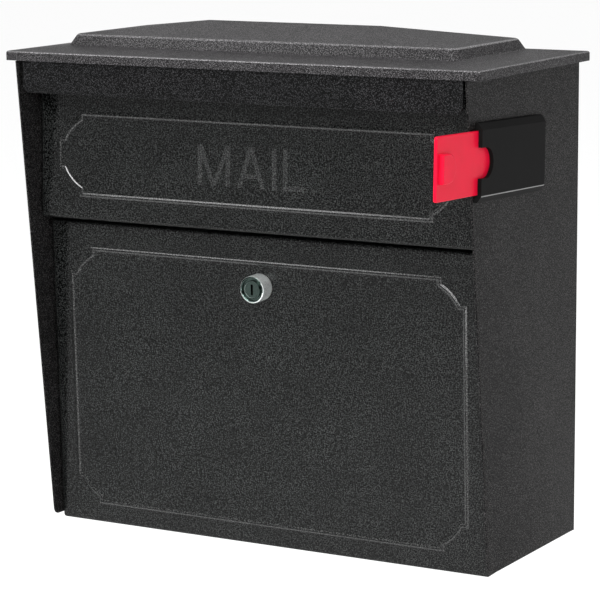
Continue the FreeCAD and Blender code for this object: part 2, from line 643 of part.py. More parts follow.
# ---- incoming mail door ------------------------------------------------------------------------
def slot_door_panel():
    """Folded door with a pressed border and the plain word, hung on its side flanges."""
    height = SLOT_TO_AXIS + SLOT_ABOVE_AXIS
    pan = folded_pan(DOOR_HALF, height, DOOR_FOLD)
    open_top = box((SHEET - DOOR_HALF, SHEET, height - DOOR_BEND - SHEET),
                   (DOOR_HALF - SHEET, DOOR_FOLD + OVER, height + OVER))
    pan = pan.cut(open_top)
    low = SLOT_BORDER_LOW
    high = height - SLOT_BORDER_TOP
    raised = [border_bead(low, high, DOOR_HALF - BORDER_SIDE)] + word((low + high) / 2 - LETTER_DROP)
    pan = fused([pan] + raised)
    bore = cylinder_x(ROD_RADIUS + RUN, -DOOR_HALF - OVER, DOOR_HALF + OVER, HINGE_DEPTH, SLOT_TO_AXIS)
    return slot_place(pan.cut(bore))


def rod(axis):
    """Full-width hinge rod between the side panels."""
    return cylinder_x(ROD_RADIUS, -ROD_HALF, ROD_HALF, axis.y, axis.z)


def slot_hinge_brackets():
    """Three eyes hung from the top panel that carry the slot door's rod."""
    shapes = []
    half_arm = BRACKET_ARM / 2
    y = SLOT_AXIS.y
    z = SLOT_AXIS.z
    rear = y + SLOT_BRACKET_REACH
    for x in BRACKET_PLACES:
        low = x - BRACKET_WIDTH / 2
        high = x + BRACKET_WIDTH / 2
        eye = cylinder_x(KNUCKLE, low, high, y, z)
        arm = box((low, y, z - half_arm), (high, rear, z + half_arm))
        riser = box((low, rear - BRACKET_ARM, z - half_arm), (high, rear, TOP_PANEL_LOW))
        shape = fused([eye, arm, riser])
        shapes.append(shape.cut(cylinder_x(ROD_RADIUS + RUN, low - OVER, high + OVER, y, z)))
    return Part.makeCompound(shapes)


def slot_door_bumpers():
    """Two rubber buttons on the rail's lip that the slot door rests against."""
    z = RAIL_LIP_LOW + BUMPER_RADIUS
    buttons = []
    for x in (-BUMPER_SIDE, BUMPER_SIDE):
        button = cylinder_y(BUMPER_RADIUS, RAIL_LIP - BUMPER_HEIGHT, RAIL_LIP, x, z)
        buttons.append(rounded(button, BUMPER_ROUND,
                               lambda e: e.CenterOfMass.y < RAIL_LIP - BUMPER_HEIGHT + NEAR))
    return Part.makeCompound(buttons)


# ---- access door -------------------------------------------------------------------------------
def access_door_panel():
    """Folded door with a pressed border, lock hole and notches for the hinge eyes."""
    pan = folded_pan(DOOR_HALF, ACCESS_HEIGHT, DOOR_FOLD)
    bead = border_bead(ACCESS_BORDER_LOW, ACCESS_HEIGHT - ACCESS_BORDER_TOP, DOOR_HALF - BORDER_SIDE)
    pan = fused([pan, bead])
    for x in BRACKET_PLACES:
        half = BRACKET_WIDTH / 2 + BRACKET_NOTCH_GAP
        pan = pan.cut(box((x - half, DOOR_BEND, -OVER), (x + half, DOOR_FOLD + OVER, DOOR_BEND)))
    rod_bore = cylinder_x(ROD_RADIUS + RUN, -DOOR_HALF - OVER, DOOR_HALF + OVER, HINGE_DEPTH, ACCESS_AXIS_RISE)
    lock_bore = cylinder_y(LOCK_BARREL_RADIUS + RUN, -BEAD_HEIGHT - OVER, SHEET + OVER, 0, LOCK_UP)
    pan = pan.cut(rod_bore).cut(lock_bore)
    return access_place(pan)


def access_hinge_brackets():
    """Three eyes on the floor's front lip that carry the access door's rod."""
    shapes = []
    half_arm = BRACKET_ARM / 2
    y = ACCESS_AXIS.y
    z = ACCESS_AXIS.z
    for x in BRACKET_PLACES:
        low = x - BRACKET_WIDTH / 2
        high = x + BRACKET_WIDTH / 2
        eye = cylinder_x(KNUCKLE, low, high, y, z)
        arm = box((low, y, z - half_arm), (high, FLOOR_FRONT, z + half_arm))
        shape = fused([eye, arm])
        shapes.append(shape.cut(cylinder_x(ROD_RADIUS + RUN, low - OVER, high + OVER, y, z)))
    return Part.makeCompound(shapes)


def lock_backing_plate():
    """Square plate welded behind the door round the lock hole."""
    half = PLATE_SIZE / 2
    plate = box((-half, SHEET, LOCK_UP - half), (half, SHEET + PLATE_THICKNESS, LOCK_UP + half))
    plate = plate.cut(cylinder_y(LOCK_BARREL_RADIUS + RUN, 0, DOOR_FOLD, 0, LOCK_UP))
    return access_place(plate)


# ---- lock --------------------------------------------------------------------------------------
def lock_body():
    """Chromed head and barrel with the plug's bore and a ring groove in its face."""
    head = cylinder_y(LOCK_HEAD_RADIUS, -LOCK_HEAD_LENGTH, 0, 0, LOCK_UP)
    head = rounded(head, LOCK_HEAD_ROUND, lambda e: e.CenterOfMass.y < NEAR - LOCK_HEAD_LENGTH)
    barrel = cylinder_y(LOCK_BARREL_RADIUS, 0, LOCK_BARREL_LENGTH, 0, LOCK_UP)
    front = -LOCK_HEAD_LENGTH - OVER
    groove = cylinder_y(LOCK_GROOVE_OUTER, front, LOCK_GROOVE_DEPTH - LOCK_HEAD_LENGTH, 0, LOCK_UP)
    groove = groove.cut(cylinder_y(LOCK_GROOVE_INNER, front, 0, 0, LOCK_UP))
    bore = cylinder_y(PLUG_RADIUS + RUN, front, LOCK_BARREL_LENGTH + OVER, 0, LOCK_UP)
    return access_place(fused([head, barrel]).cut(groove).cut(bore))


def lock_nut():
    """Hexagonal nut that clamps the lock to the door."""
    nut = hexagon(NUT_ACROSS_FLATS, NUT_THICKNESS)
    nut = nut.cut(cylinder_z(LOCK_BARREL_RADIUS + RUN, -OVER, NUT_THICKNESS + OVER, 0, 0))
    nut.rotate(V(0, 0, 0), V(1, 0, 0), -90)
    nut.translate(V(0, SHEET + PLATE_THICKNESS, LOCK_UP))
    return access_place(nut)


def wafer_places():
    """Middles of the wafers along the plug."""
    first = -LOCK_HEAD_LENGTH / 2
    return [first + index * WAFER_PITCH for index in range(WAFER_COUNT)]


def lock_plug():
    """Turning plug with keyway, wafer slots and a square tail for the cam."""
    front = PLUG_SINK - LOCK_HEAD_LENGTH
    plug = cylinder_y(PLUG_RADIUS, front, LOCK_BARREL_LENGTH + CAM_GAP, 0, LOCK_UP)
    half = CAM_SQUARE / 2
    tail = box((-half, LOCK_BARREL_LENGTH, LOCK_UP - half), (half, CAM_BACK, LOCK_UP + half))
    plug = fused([plug, tail])
    plug = plug.cut(box((-KEYWAY_WIDTH / 2, front - OVER, LOCK_UP - KEYWAY_HEIGHT / 2),
                        (KEYWAY_WIDTH / 2, LOCK_BARREL_LENGTH - KEYWAY_END, LOCK_UP + KEYWAY_HEIGHT / 2)))
    thick = WAFER_THICKNESS / 2 + RUN
    wide = WAFER_SLOT_WIDTH / 2
    tall = PLUG_RADIUS + OVER
    for y in wafer_places():
        plug = plug.cut(box((-wide, y - thick, LOCK_UP - tall), (wide, y + thick, LOCK_UP + tall)))
    thread_end = LOCK_BARREL_LENGTH - CAM_SCREW_GRIP - OVER
    thread = cylinder_y(CAM_SCREW_RADIUS + RUN, thread_end, CAM_BACK + OVER, 0, LOCK_UP)
    return access_place(plug.cut(thread))


def lock_wafers():
    """Five sprung wafers in the plug, each with a window for the key."""
    wafers = []
    thick = WAFER_THICKNESS / 2
    wide = WAFER_WIDTH / 2
    tall = WAFER_HEIGHT / 2
    open_wide = WAFER_WINDOW_WIDTH / 2
    open_tall = WAFER_WINDOW_HEIGHT / 2
    for y in wafer_places():
        wafer = box((-wide, y - thick, LOCK_UP - tall), (wide, y + thick, LOCK_UP + tall))
        window = box((-open_wide, y - OVER, LOCK_UP - open_tall), (open_wide, y + OVER, LOCK_UP + open_tall))
        wafers.append(wafer.cut(window))
    return access_place(Part.makeCompound(wafers))


def lock_cam():
    """Flat cam on the plug's square tail; it points sideways when unlocked."""
    low = LOCK_BARREL_LENGTH + CAM_GAP
    hub = cylinder_y(CAM_HUB_RADIUS, low, CAM_BACK, 0, LOCK_UP)
    half = CAM_WIDTH / 2
    arm = box((0, low, LOCK_UP - half), (CAM_LENGTH, CAM_BACK, LOCK_UP + half))
    arm = rounded(arm, CAM_TIP_RADIUS, lambda e: along(e, 1) and e.CenterOfMass.x > CAM_LENGTH - NEAR)
    hole = CAM_SQUARE / 2 + RUN
    cut = box((-hole, low - OVER, LOCK_UP - hole), (hole, CAM_BACK + OVER, LOCK_UP + hole))
    return access_place(fused([hub, arm]).cut(cut))


def cam_screw():
    """Screw that holds the cam on the plug."""
    end = CAM_BACK + CAM_SCREW_HEAD_HEIGHT
    head = cylinder_y(CAM_SCREW_HEAD, CAM_BACK, end, 0, LOCK_UP)
    head = rounded(head, CAM_SCREW_HEAD_ROUND, lambda e: e.CenterOfMass.y > end - NEAR)
    shank = cylinder_y(CAM_SCREW_RADIUS, LOCK_BARREL_LENGTH - CAM_SCREW_GRIP, CAM_BACK, 0, LOCK_UP)
    half = CAM_SCREW_SLOT_WIDTH / 2
    slot = box((-CAM_SCREW_HEAD, end - CAM_SCREW_SLOT_DEPTH, LOCK_UP - half),
               (CAM_SCREW_HEAD, end + OVER, LOCK_UP + half))
    return access_place(fused([head, shank]).cut(slot))


# ---- flag --------------------------------------------------------------------------------------
def flag_place(shape):
    """Tilt a flag piece about the front end of its holder."""
    turned = shape.copy()
    turned.rotate(V(0, HOLDER_FRONT, HOLDER_Z), V(1, 0, 0), -FLAG_TILT)
    return turned


def holder_screws():
    """Places of the holder's screws as (y, z), before the tilt."""
    places = (HOLDER_FRONT + HOLDER_SCREW_FRONT, HOLDER_FRONT + HOLDER_LENGTH - HOLDER_SCREW_BACK)
    return [(y, HOLDER_Z + side * HOLDER_WALL) for y in places for side in (-1, 1)]


def flag():
    """Sliding flag plate with a stop rib on its tail and a raised grip."""
    half = FLAG_HEIGHT / 2
    plate = box((FLAG_INNER, FLAG_FRONT, HOLDER_Z - half), (FLAG_FACE, FLAG_REAR, HOLDER_Z + half))
    plate = rounded(plate, FLAG_CORNER, lambda e: along(e, 0))
    rib = box((FLAG_INNER, FLAG_REAR - RIB_LENGTH, HOLDER_Z - half + FLAG_CORNER),
              (FLAG_FACE + RIB_HEIGHT, FLAG_REAR, HOLDER_Z + half - FLAG_CORNER))
    round_end = GRIP_HEIGHT / 2
    grip_top = FLAG_FACE + GRIP_PROUD
    grip = box((FLAG_INNER, GRIP_REAR - GRIP_LENGTH, HOLDER_Z - round_end),
               (grip_top, GRIP_REAR - round_end, HOLDER_Z + round_end))
    heel = cylinder_x(round_end, FLAG_INNER, grip_top, GRIP_REAR - round_end, HOLDER_Z)
    return flag_place(fused([plate, rib, grip, heel]))


def flag_holder():
    """Bevelled plastic channel on the right side panel, with a finger notch in its front."""
    half = HOLDER_HEIGHT / 2
    face = half - HOLDER_BEVEL
    start = BODY_HALF + HOLDER_BEVEL_START
    outline = [(BODY_HALF, -half), (start, -half), (HOLDER_FACE, -face), (HOLDER_FACE, face), (start, half),
               (BODY_HALF, half)]
    points = [V(x, HOLDER_FRONT, HOLDER_Z + z) for x, z in outline]
    shape = Part.Face(Part.makePolygon(points + points[:1])).extrude(V(0, HOLDER_LENGTH, 0))
    inside = FLAG_HEIGHT / 2 + FLAG_CLEAR
    stop = FLAG_REAR - RIB_LENGTH - FLAG_CLEAR
    end = FLAG_REAR + FLAG_TRAVEL + FLAG_RUN_SPARE
    mouth = box((BODY_HALF - OVER, HOLDER_FRONT - OVER, HOLDER_Z - inside),
                (FLAG_FACE + FLAG_CLEAR, stop, HOLDER_Z + inside))
    run = box((BODY_HALF - OVER, stop, HOLDER_Z - inside),
              (FLAG_FACE + RIB_HEIGHT + FLAG_CLEAR, end, HOLDER_Z + inside))
    notch_half = GRIP_HEIGHT / 2 + GRIP_CLEAR
    notch_y = HOLDER_FRONT + NOTCH_DEPTH - notch_half
    notch = box((FLAG_FACE, HOLDER_FRONT - OVER, HOLDER_Z - notch_half),
                (HOLDER_FACE + OVER, notch_y, HOLDER_Z + notch_half))
    notch_end = cylinder_x(notch_half, FLAG_FACE, HOLDER_FACE + OVER, notch_y, HOLDER_Z)
    shape = shape.cut(mouth).cut(run).cut(notch).cut(notch_end)
    screw_end = BODY_HALF + HOLDER_SCREW_DEPTH + RUN
    for y, z in holder_screws():
        shape = shape.cut(cylinder_x(HOLDER_SCREW_RADIUS + RUN, BODY_HALF - OVER, screw_end, y, z))
    return flag_place(shape)


def flag_holder_screws():
    """Four screws from inside the case into the holder."""
    screws = []
    for y, z in holder_screws():
        low = INNER_HALF - HOLDER_SCREW_HEAD_HEIGHT
        head = cylinder_x(HOLDER_SCREW_HEAD, low, INNER_HALF, y, z)
        shank = cylinder_x(HOLDER_SCREW_RADIUS, low + HOLDER_SCREW_SLOT, BODY_HALF + HOLDER_SCREW_DEPTH, y, z)
        half = HOLDER_SCREW_SLOT / 2
        slot = box((low - OVER, y - HOLDER_SCREW_HEAD, z - half),
                   (low + HOLDER_SCREW_SLOT, y + HOLDER_SCREW_HEAD, z + half))
        screws.append(flag_place(fused([head, shank]).cut(slot)))
    return Part.makeCompound(screws)


def all_pieces():
    """Every node's name and shape, in the layout frame."""
    return {
        "back_panel": back_panel(),
        "left_side_panel": side_panel(),
        "right_side_panel": right_side_panel(),
        "floor_panel": floor_panel(),
        "top_panel": top_panel(),
        "lid": lid(),
        "lid_studs": lid_studs(),
        "lid_nuts": lid_nuts(),
        "front_valance": front_valance(),
        "cross_rail": cross_rail(),
        "left_door_jamb": door_jamb(),
        "right_door_jamb": mirrored(door_jamb()),
        "chute_baffle": chute_baffle(),
        "fish_comb": fish_comb(),
        "slot_door_panel": slot_door_panel(),
        "slot_hinge_rod": rod(SLOT_AXIS),
        "slot_hinge_brackets": slot_hinge_brackets(),
        "slot_door_bumpers": slot_door_bumpers(),
        "access_door_panel": access_door_panel(),
        "access_hinge_rod": rod(ACCESS_AXIS),
        "access_hinge_brackets": access_hinge_brackets(),
        "lock_backing_plate": lock_backing_plate(),
        "lock_body": lock_body(),
        "lock_nut": lock_nut(),
        "lock_plug": lock_plug(),
        "lock_wafers": lock_wafers(),
        "lock_cam": lock_cam(),
        "cam_screw": cam_screw(),
        "flag": flag(),
        "flag_holder": flag_holder(),
        "flag_holder_screws": flag_holder_screws(),
    }


def main():
    """Write each piece, with the origin at the middle of the wall screws on the back face."""
    os.makedirs("parts", exist_ok=True)
    for name, shape in all_pieces().items():
        shape.translate(V(0, 0, -MOUNT_HEIGHT))
        shape.exportStep("parts/" + name + ".step")
        print(name, len(shape.Solids), "solids", round(shape.Volume), "mm3", shape.isValid())
    lock = access_place(V(0, 0, LOCK_UP))
    for label, place in (("access axis", ACCESS_AXIS), ("slot axis", SLOT_AXIS), ("lock", lock)):
        print(label, round(place.y, 3), round(place.z - MOUNT_HEIGHT, 3))
    print("flag travel", round(FLAG_TRAVEL, 2))


if __name__ == "__main__":
    main()
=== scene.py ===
"""Wall mounted steel mailbox: hipped lid, slot door, locking access door and sliding side flag.

Sizes are in metres. Places come from the fixed frame: its node boxes and its joints. The wall is the
plane Y = 0, the doors face -Y and Z is up.
"""

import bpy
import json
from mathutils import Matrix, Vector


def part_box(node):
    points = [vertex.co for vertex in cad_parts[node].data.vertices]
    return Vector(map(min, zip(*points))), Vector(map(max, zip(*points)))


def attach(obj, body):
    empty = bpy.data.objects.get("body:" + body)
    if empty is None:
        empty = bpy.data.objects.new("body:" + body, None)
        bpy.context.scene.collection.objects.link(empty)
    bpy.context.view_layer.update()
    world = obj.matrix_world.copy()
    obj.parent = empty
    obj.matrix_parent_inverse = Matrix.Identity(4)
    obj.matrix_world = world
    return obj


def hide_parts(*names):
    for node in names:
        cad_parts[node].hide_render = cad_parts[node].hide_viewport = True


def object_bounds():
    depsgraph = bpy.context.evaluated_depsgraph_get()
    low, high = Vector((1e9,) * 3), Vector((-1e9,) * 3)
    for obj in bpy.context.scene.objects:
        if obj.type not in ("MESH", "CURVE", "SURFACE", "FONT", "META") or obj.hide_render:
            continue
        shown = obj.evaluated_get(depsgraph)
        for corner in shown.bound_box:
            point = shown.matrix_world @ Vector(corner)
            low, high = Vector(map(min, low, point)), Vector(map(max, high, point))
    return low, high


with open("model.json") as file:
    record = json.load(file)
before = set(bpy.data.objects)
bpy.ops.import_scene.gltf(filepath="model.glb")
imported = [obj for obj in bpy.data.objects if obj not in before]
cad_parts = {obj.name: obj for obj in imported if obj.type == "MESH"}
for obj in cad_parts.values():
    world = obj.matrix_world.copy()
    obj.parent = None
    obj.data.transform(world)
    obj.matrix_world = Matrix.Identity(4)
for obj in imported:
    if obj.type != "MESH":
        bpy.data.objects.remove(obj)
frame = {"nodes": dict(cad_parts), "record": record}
FRAME_BOX = [list(corner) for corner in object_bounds()]

import json
import logging
import math
from collections.abc import Callable, Iterator, Sequence
from contextlib import contextmanager
from dataclasses import dataclass
from enum import Enum
from typing import Any

import bmesh
import bpy
from mathutils import Matrix, Vector

MM = 0.001
TOUCH = 1e-6                    # two places closer than this are the same
SHEET = 1.5 * MM                # steel sheet of the case, doors and lid
LOG = logging.getLogger("mailbox")

Point = Sequence[float]
Outline = list[tuple[float, float]]


class Pick(Enum):
    """What is selected while a mesh is edited."""

    VERTS = (True, False, False)
    EDGES = (False, True, False)
    FACES = (False, False, True)


class Slot(Enum):
    """The record's material slots."""

    CASE = "case_coat"
    LID = "lid_coat"
    DOOR = "door_coat"
    ZINC = "zinc"
    CHROME = "lock_chrome"
    BRASS = "wafer_brass"
    RUBBER = "bumper_rubber"
    FLAG = "flag_red"
    HOLDER = "holder_black"


# ---- the bench ----------------------------------------------------------------------------------
class Workpiece:
    """One piece on the bench: a primitive that is shaped step by step into the finished mesh."""

    def __init__(self, obj: bpy.types.Object) -> None:
        """Take an object onto the bench."""
        self.obj = obj
        self.accents: list[tuple["Finish", Callable[[Any], bool]]] = []

    @staticmethod
    def clear() -> None:
        """Leave edit mode with nothing selected."""
        if bpy.context.mode != "OBJECT":
            bpy.ops.object.mode_set(mode="OBJECT")
        bpy.ops.object.select_all(action="DESELECT")

    @classmethod
    def block(cls, name: str, low: Point, high: Point) -> "Workpiece":
        """Start from a block between two corners.

        Args:
            name: the piece's name.
            low: lowest corner.
            high: highest corner.

        Returns:
            The new workpiece.
        """
        cls.clear()
        low, high = Vector(low), Vector(high)
        bpy.ops.mesh.primitive_cube_add(size=1.0, location=(low + high) / 2)
        return cls._started(name, high - low)

    @classmethod
    def disc_bar(cls, name: str, radius: float, start: Point, end: Point, sides: int = 64) -> "Workpiece":
        """Start from a round bar between two points.

        Args:
            name: the piece's name.
            radius: the bar's radius.
            start: middle of one end.
            end: middle of the other end.
            sides: number of sides round it.

        Returns:
            The new workpiece.
        """
        cls.clear()
        start, end = Vector(start), Vector(end)
        run = end - start
        bpy.ops.mesh.primitive_cylinder_add(
            vertices=sides, radius=radius, depth=run.length, location=(start + end) / 2,
            rotation=run.to_track_quat("Z", "Y").to_euler())
        return cls._started(name, Vector((1, 1, 1)))

    @classmethod
    def plate(cls, name: str, low: Point, high: Point, z: float) -> "Workpiece":
        """Start from a flat plate at a height.

        Args:
            name: the piece's name.
            low: lowest (x, y) corner.
            high: highest (x, y) corner.
            z: the height.

        Returns:
            The new workpiece.
        """
        cls.clear()
        middle = ((low[0] + high[0]) / 2, (low[1] + high[1]) / 2, z)
        bpy.ops.mesh.primitive_plane_add(size=1.0, location=middle)
        return cls._started(name, Vector((high[0] - low[0], high[1] - low[1], 1)))

    @classmethod
    def drawn(cls, name: str, points: Sequence[Point]) -> "Workpiece":
        """Draw a closed outline by pulling one vertex from point to point.

        Args:
            name: the piece's name.
            points: the outline's corners in order.

        Returns:
            The new workpiece, one closed loop of edges.
        """
        cls.clear()
        places = [Vector(point) for point in points]
        bpy.ops.mesh.primitive_plane_add(size=1.0, location=places[0])
        piece = cls._started(name, Vector((1, 1, 1)))
        with piece.editing():
            bpy.ops.mesh.select_all(action="SELECT")
            bpy.ops.mesh.merge(type="CENTER")
            for here, there in zip(places, places[1:] + places[:1]):
                bpy.ops.mesh.extrude_vertices_move(TRANSFORM_OT_translate={"value": there - here})
            bpy.ops.mesh.select_all(action="SELECT")
            bpy.ops.mesh.remove_doubles(threshold=TOUCH)
        return piece

    @classmethod
    def _started(cls, name: str, scale: Vector) -> "Workpiece":
        """Name the primitive just added and fix its size in its mesh."""
        obj = bpy.context.active_object
        obj.name = name
        obj.data.name = name
        obj.scale = scale
        bpy.ops.object.transform_apply(location=True, rotation=True, scale=True)
        return cls(obj)

    @contextmanager
    def editing(self) -> Iterator[None]:
        """Edit this piece's mesh with nothing selected at the start."""
        self.only()
        bpy.ops.object.mode_set(mode="EDIT")
        bpy.context.tool_settings.mesh_select_mode = Pick.VERTS.value
        bpy.ops.mesh.select_all(action="DESELECT")
        yield
        bpy.ops.object.mode_set(mode="OBJECT")

    def only(self) -> None:
        """Select this piece alone."""
        self.clear()
        self.obj.select_set(True)
        bpy.context.view_layer.objects.active = self.obj

    def pick(self, kind: Pick, wanted: Callable[[Any], bool]) -> int:
        """Select vertices, edges or faces by a test, in edit mode.

        Args:
            kind: what to select.
            wanted: the test on each one.

        Returns:
            How many are selected.
        """
        bpy.ops.mesh.select_all(action="DESELECT")
        bpy.context.tool_settings.mesh_select_mode = kind.value
        mesh = bmesh.from_edit_mesh(self.obj.data)
        items = {Pick.VERTS: mesh.verts, Pick.EDGES: mesh.edges, Pick.FACES: mesh.faces}[kind]
        found = [item for item in items if wanted(item)]
        for item in found:
            item.select_set(True)
        bmesh.update_edit_mesh(self.obj.data, loop_triangles=False, destructive=False)
        return len(found)

    def soften(self, wanted: Callable[[Any], bool], radius: float, segments: int) -> None:
        """Round the edges for which wanted(edge) is true.

        Args:
            wanted: the test on each edge.
            radius: the round's radius.
            segments: its number of steps.
        """
        with self.editing():
            if self.pick(Pick.EDGES, wanted):
                bpy.ops.mesh.bevel(offset=radius, segments=segments, affect="EDGES")

    def drop(self, wanted: Callable[[Any], bool], keep_edges: bool = False) -> None:
        """Delete the faces for which wanted(face) is true.

        Args:
            wanted: the test on each face.
            keep_edges: leave the edges round them.
        """
        with self.editing():
            self.pick(Pick.FACES, wanted)
            bpy.ops.mesh.delete(type="ONLY_FACE" if keep_edges else "FACE")

    def join(self, *others: "Workpiece") -> None:
        """Take other workpieces into this one.

        Args:
            others: the pieces to take in.
        """
        if not others:
            return
        self.only()
        for other in others:
            other.obj.select_set(True)
        bpy.ops.object.join()

    def copy(self, name: str) -> "Workpiece":
        """A copy of this piece with its own mesh.

        Args:
            name: the copy's name.

        Returns:
            The copy.
        """
        self.only()
        bpy.ops.object.duplicate(linked=False)
        obj = bpy.context.active_object
        obj.name = name
        obj.data.name = name
        return Workpiece(obj)

    def place(self, turn: float, move: Point) -> None:
        """Turn the piece about X and move it, in its mesh.

        Args:
            turn: angle in radians.
            move: where its origin goes.
        """
        self.only()
        self.obj.rotation_euler = (turn, 0.0, 0.0)
        self.obj.location = Vector(move)
        bpy.ops.object.transform_apply(location=True, rotation=True, scale=True)

    def flip_side(self) -> None:
        """Mirror the piece across X = 0, with its faces turned outwards again."""
        self.only()
        self.obj.scale = (-1.0, 1.0, 1.0)
        bpy.ops.object.transform_apply(location=True, rotation=True, scale=True)
        self.outwards()

    def outwards(self) -> None:
        """Turn every face outwards."""
        with self.editing():
            bpy.ops.mesh.select_all(action="SELECT")
            bpy.ops.mesh.normals_make_consistent(inside=False)

    def finish_modifier(self, kind: str, **settings: Any) -> None:
        """Add a modifier, set it and apply it.

        Args:
            kind: the modifier's type.
            settings: its settings.
        """
        self.only()
        modifier = self.obj.modifiers.new(kind.title(), kind)
        for key, value in settings.items():
            setattr(modifier, key, value)
        bpy.ops.object.modifier_apply(modifier=modifier.name)

    def thicken(self, thickness: float) -> None:
        """Give an open skin the thickness of its sheet, inwards.

        Args:
            thickness: the sheet's thickness.
        """
        self.finish_modifier("SOLIDIFY", thickness=thickness, offset=-1.0, use_even_offset=True,
                             use_quality_normals=True)

    def cut(self, *tools: "Workpiece") -> None:
        """Cut the tools' shapes out of this piece and throw the tools away.

        Args:
            tools: the shapes to cut out.
        """
        for tool in tools:
            self.finish_modifier("BOOLEAN", operation="DIFFERENCE", object=tool.obj, solver="EXACT")
            bpy.data.objects.remove(tool.obj, do_unlink=True)

    def smooth(self, degrees: float = 32.0) -> None:
        """Smooth shading that keeps sharp folds and flat faces.

        Args:
            degrees: edges sharper than this stay sharp.
        """
        self.only()
        bpy.ops.object.shade_smooth_by_angle(angle=math.radians(degrees))
        self.finish_modifier("WEIGHTED_NORMAL", mode="FACE_AREA", weight=80, keep_sharp=True)

    def accent(self, finish: "Finish", wanted: Callable[[Any], bool]) -> None:
        """Give the faces for which wanted(face) is true a finish of their own."""
        self.accents.append((finish, wanted))

    def mark_accents(self) -> None:
        """Give the marked faces their number, while the piece is still in its own frame."""
        self.obj.data.materials.clear()
        self.obj.data.materials.append(None)
        for number, (accent, wanted) in enumerate(self.accents, 1):
            self.obj.data.materials.append(accent.material())
            with self.editing():
                self.pick(Pick.FACES, wanted)
                self.obj.active_material_index = number
                bpy.ops.object.material_slot_assign()

    def fit(self, body: str, slot: Slot, finish: "Finish", *nodes: str) -> None:
        """Hand the finished piece to the frame.

        Args:
            body: the frame body that it rides on.
            slot: the record's material slot; not used.
            finish: what it is coated with or made of.
            nodes: the frame nodes that it stands for.
        """
        if not self.accents:
            self.mark_accents()
        self.obj.material_slots[0].material = finish.material()
        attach(self.obj, body)
        if nodes:
            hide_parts(*nodes)
        self.obj.data.calc_loop_triangles()
        LOG.info("%s: %d triangles on %s", self.obj.name, len(self.obj.data.loop_triangles), body)


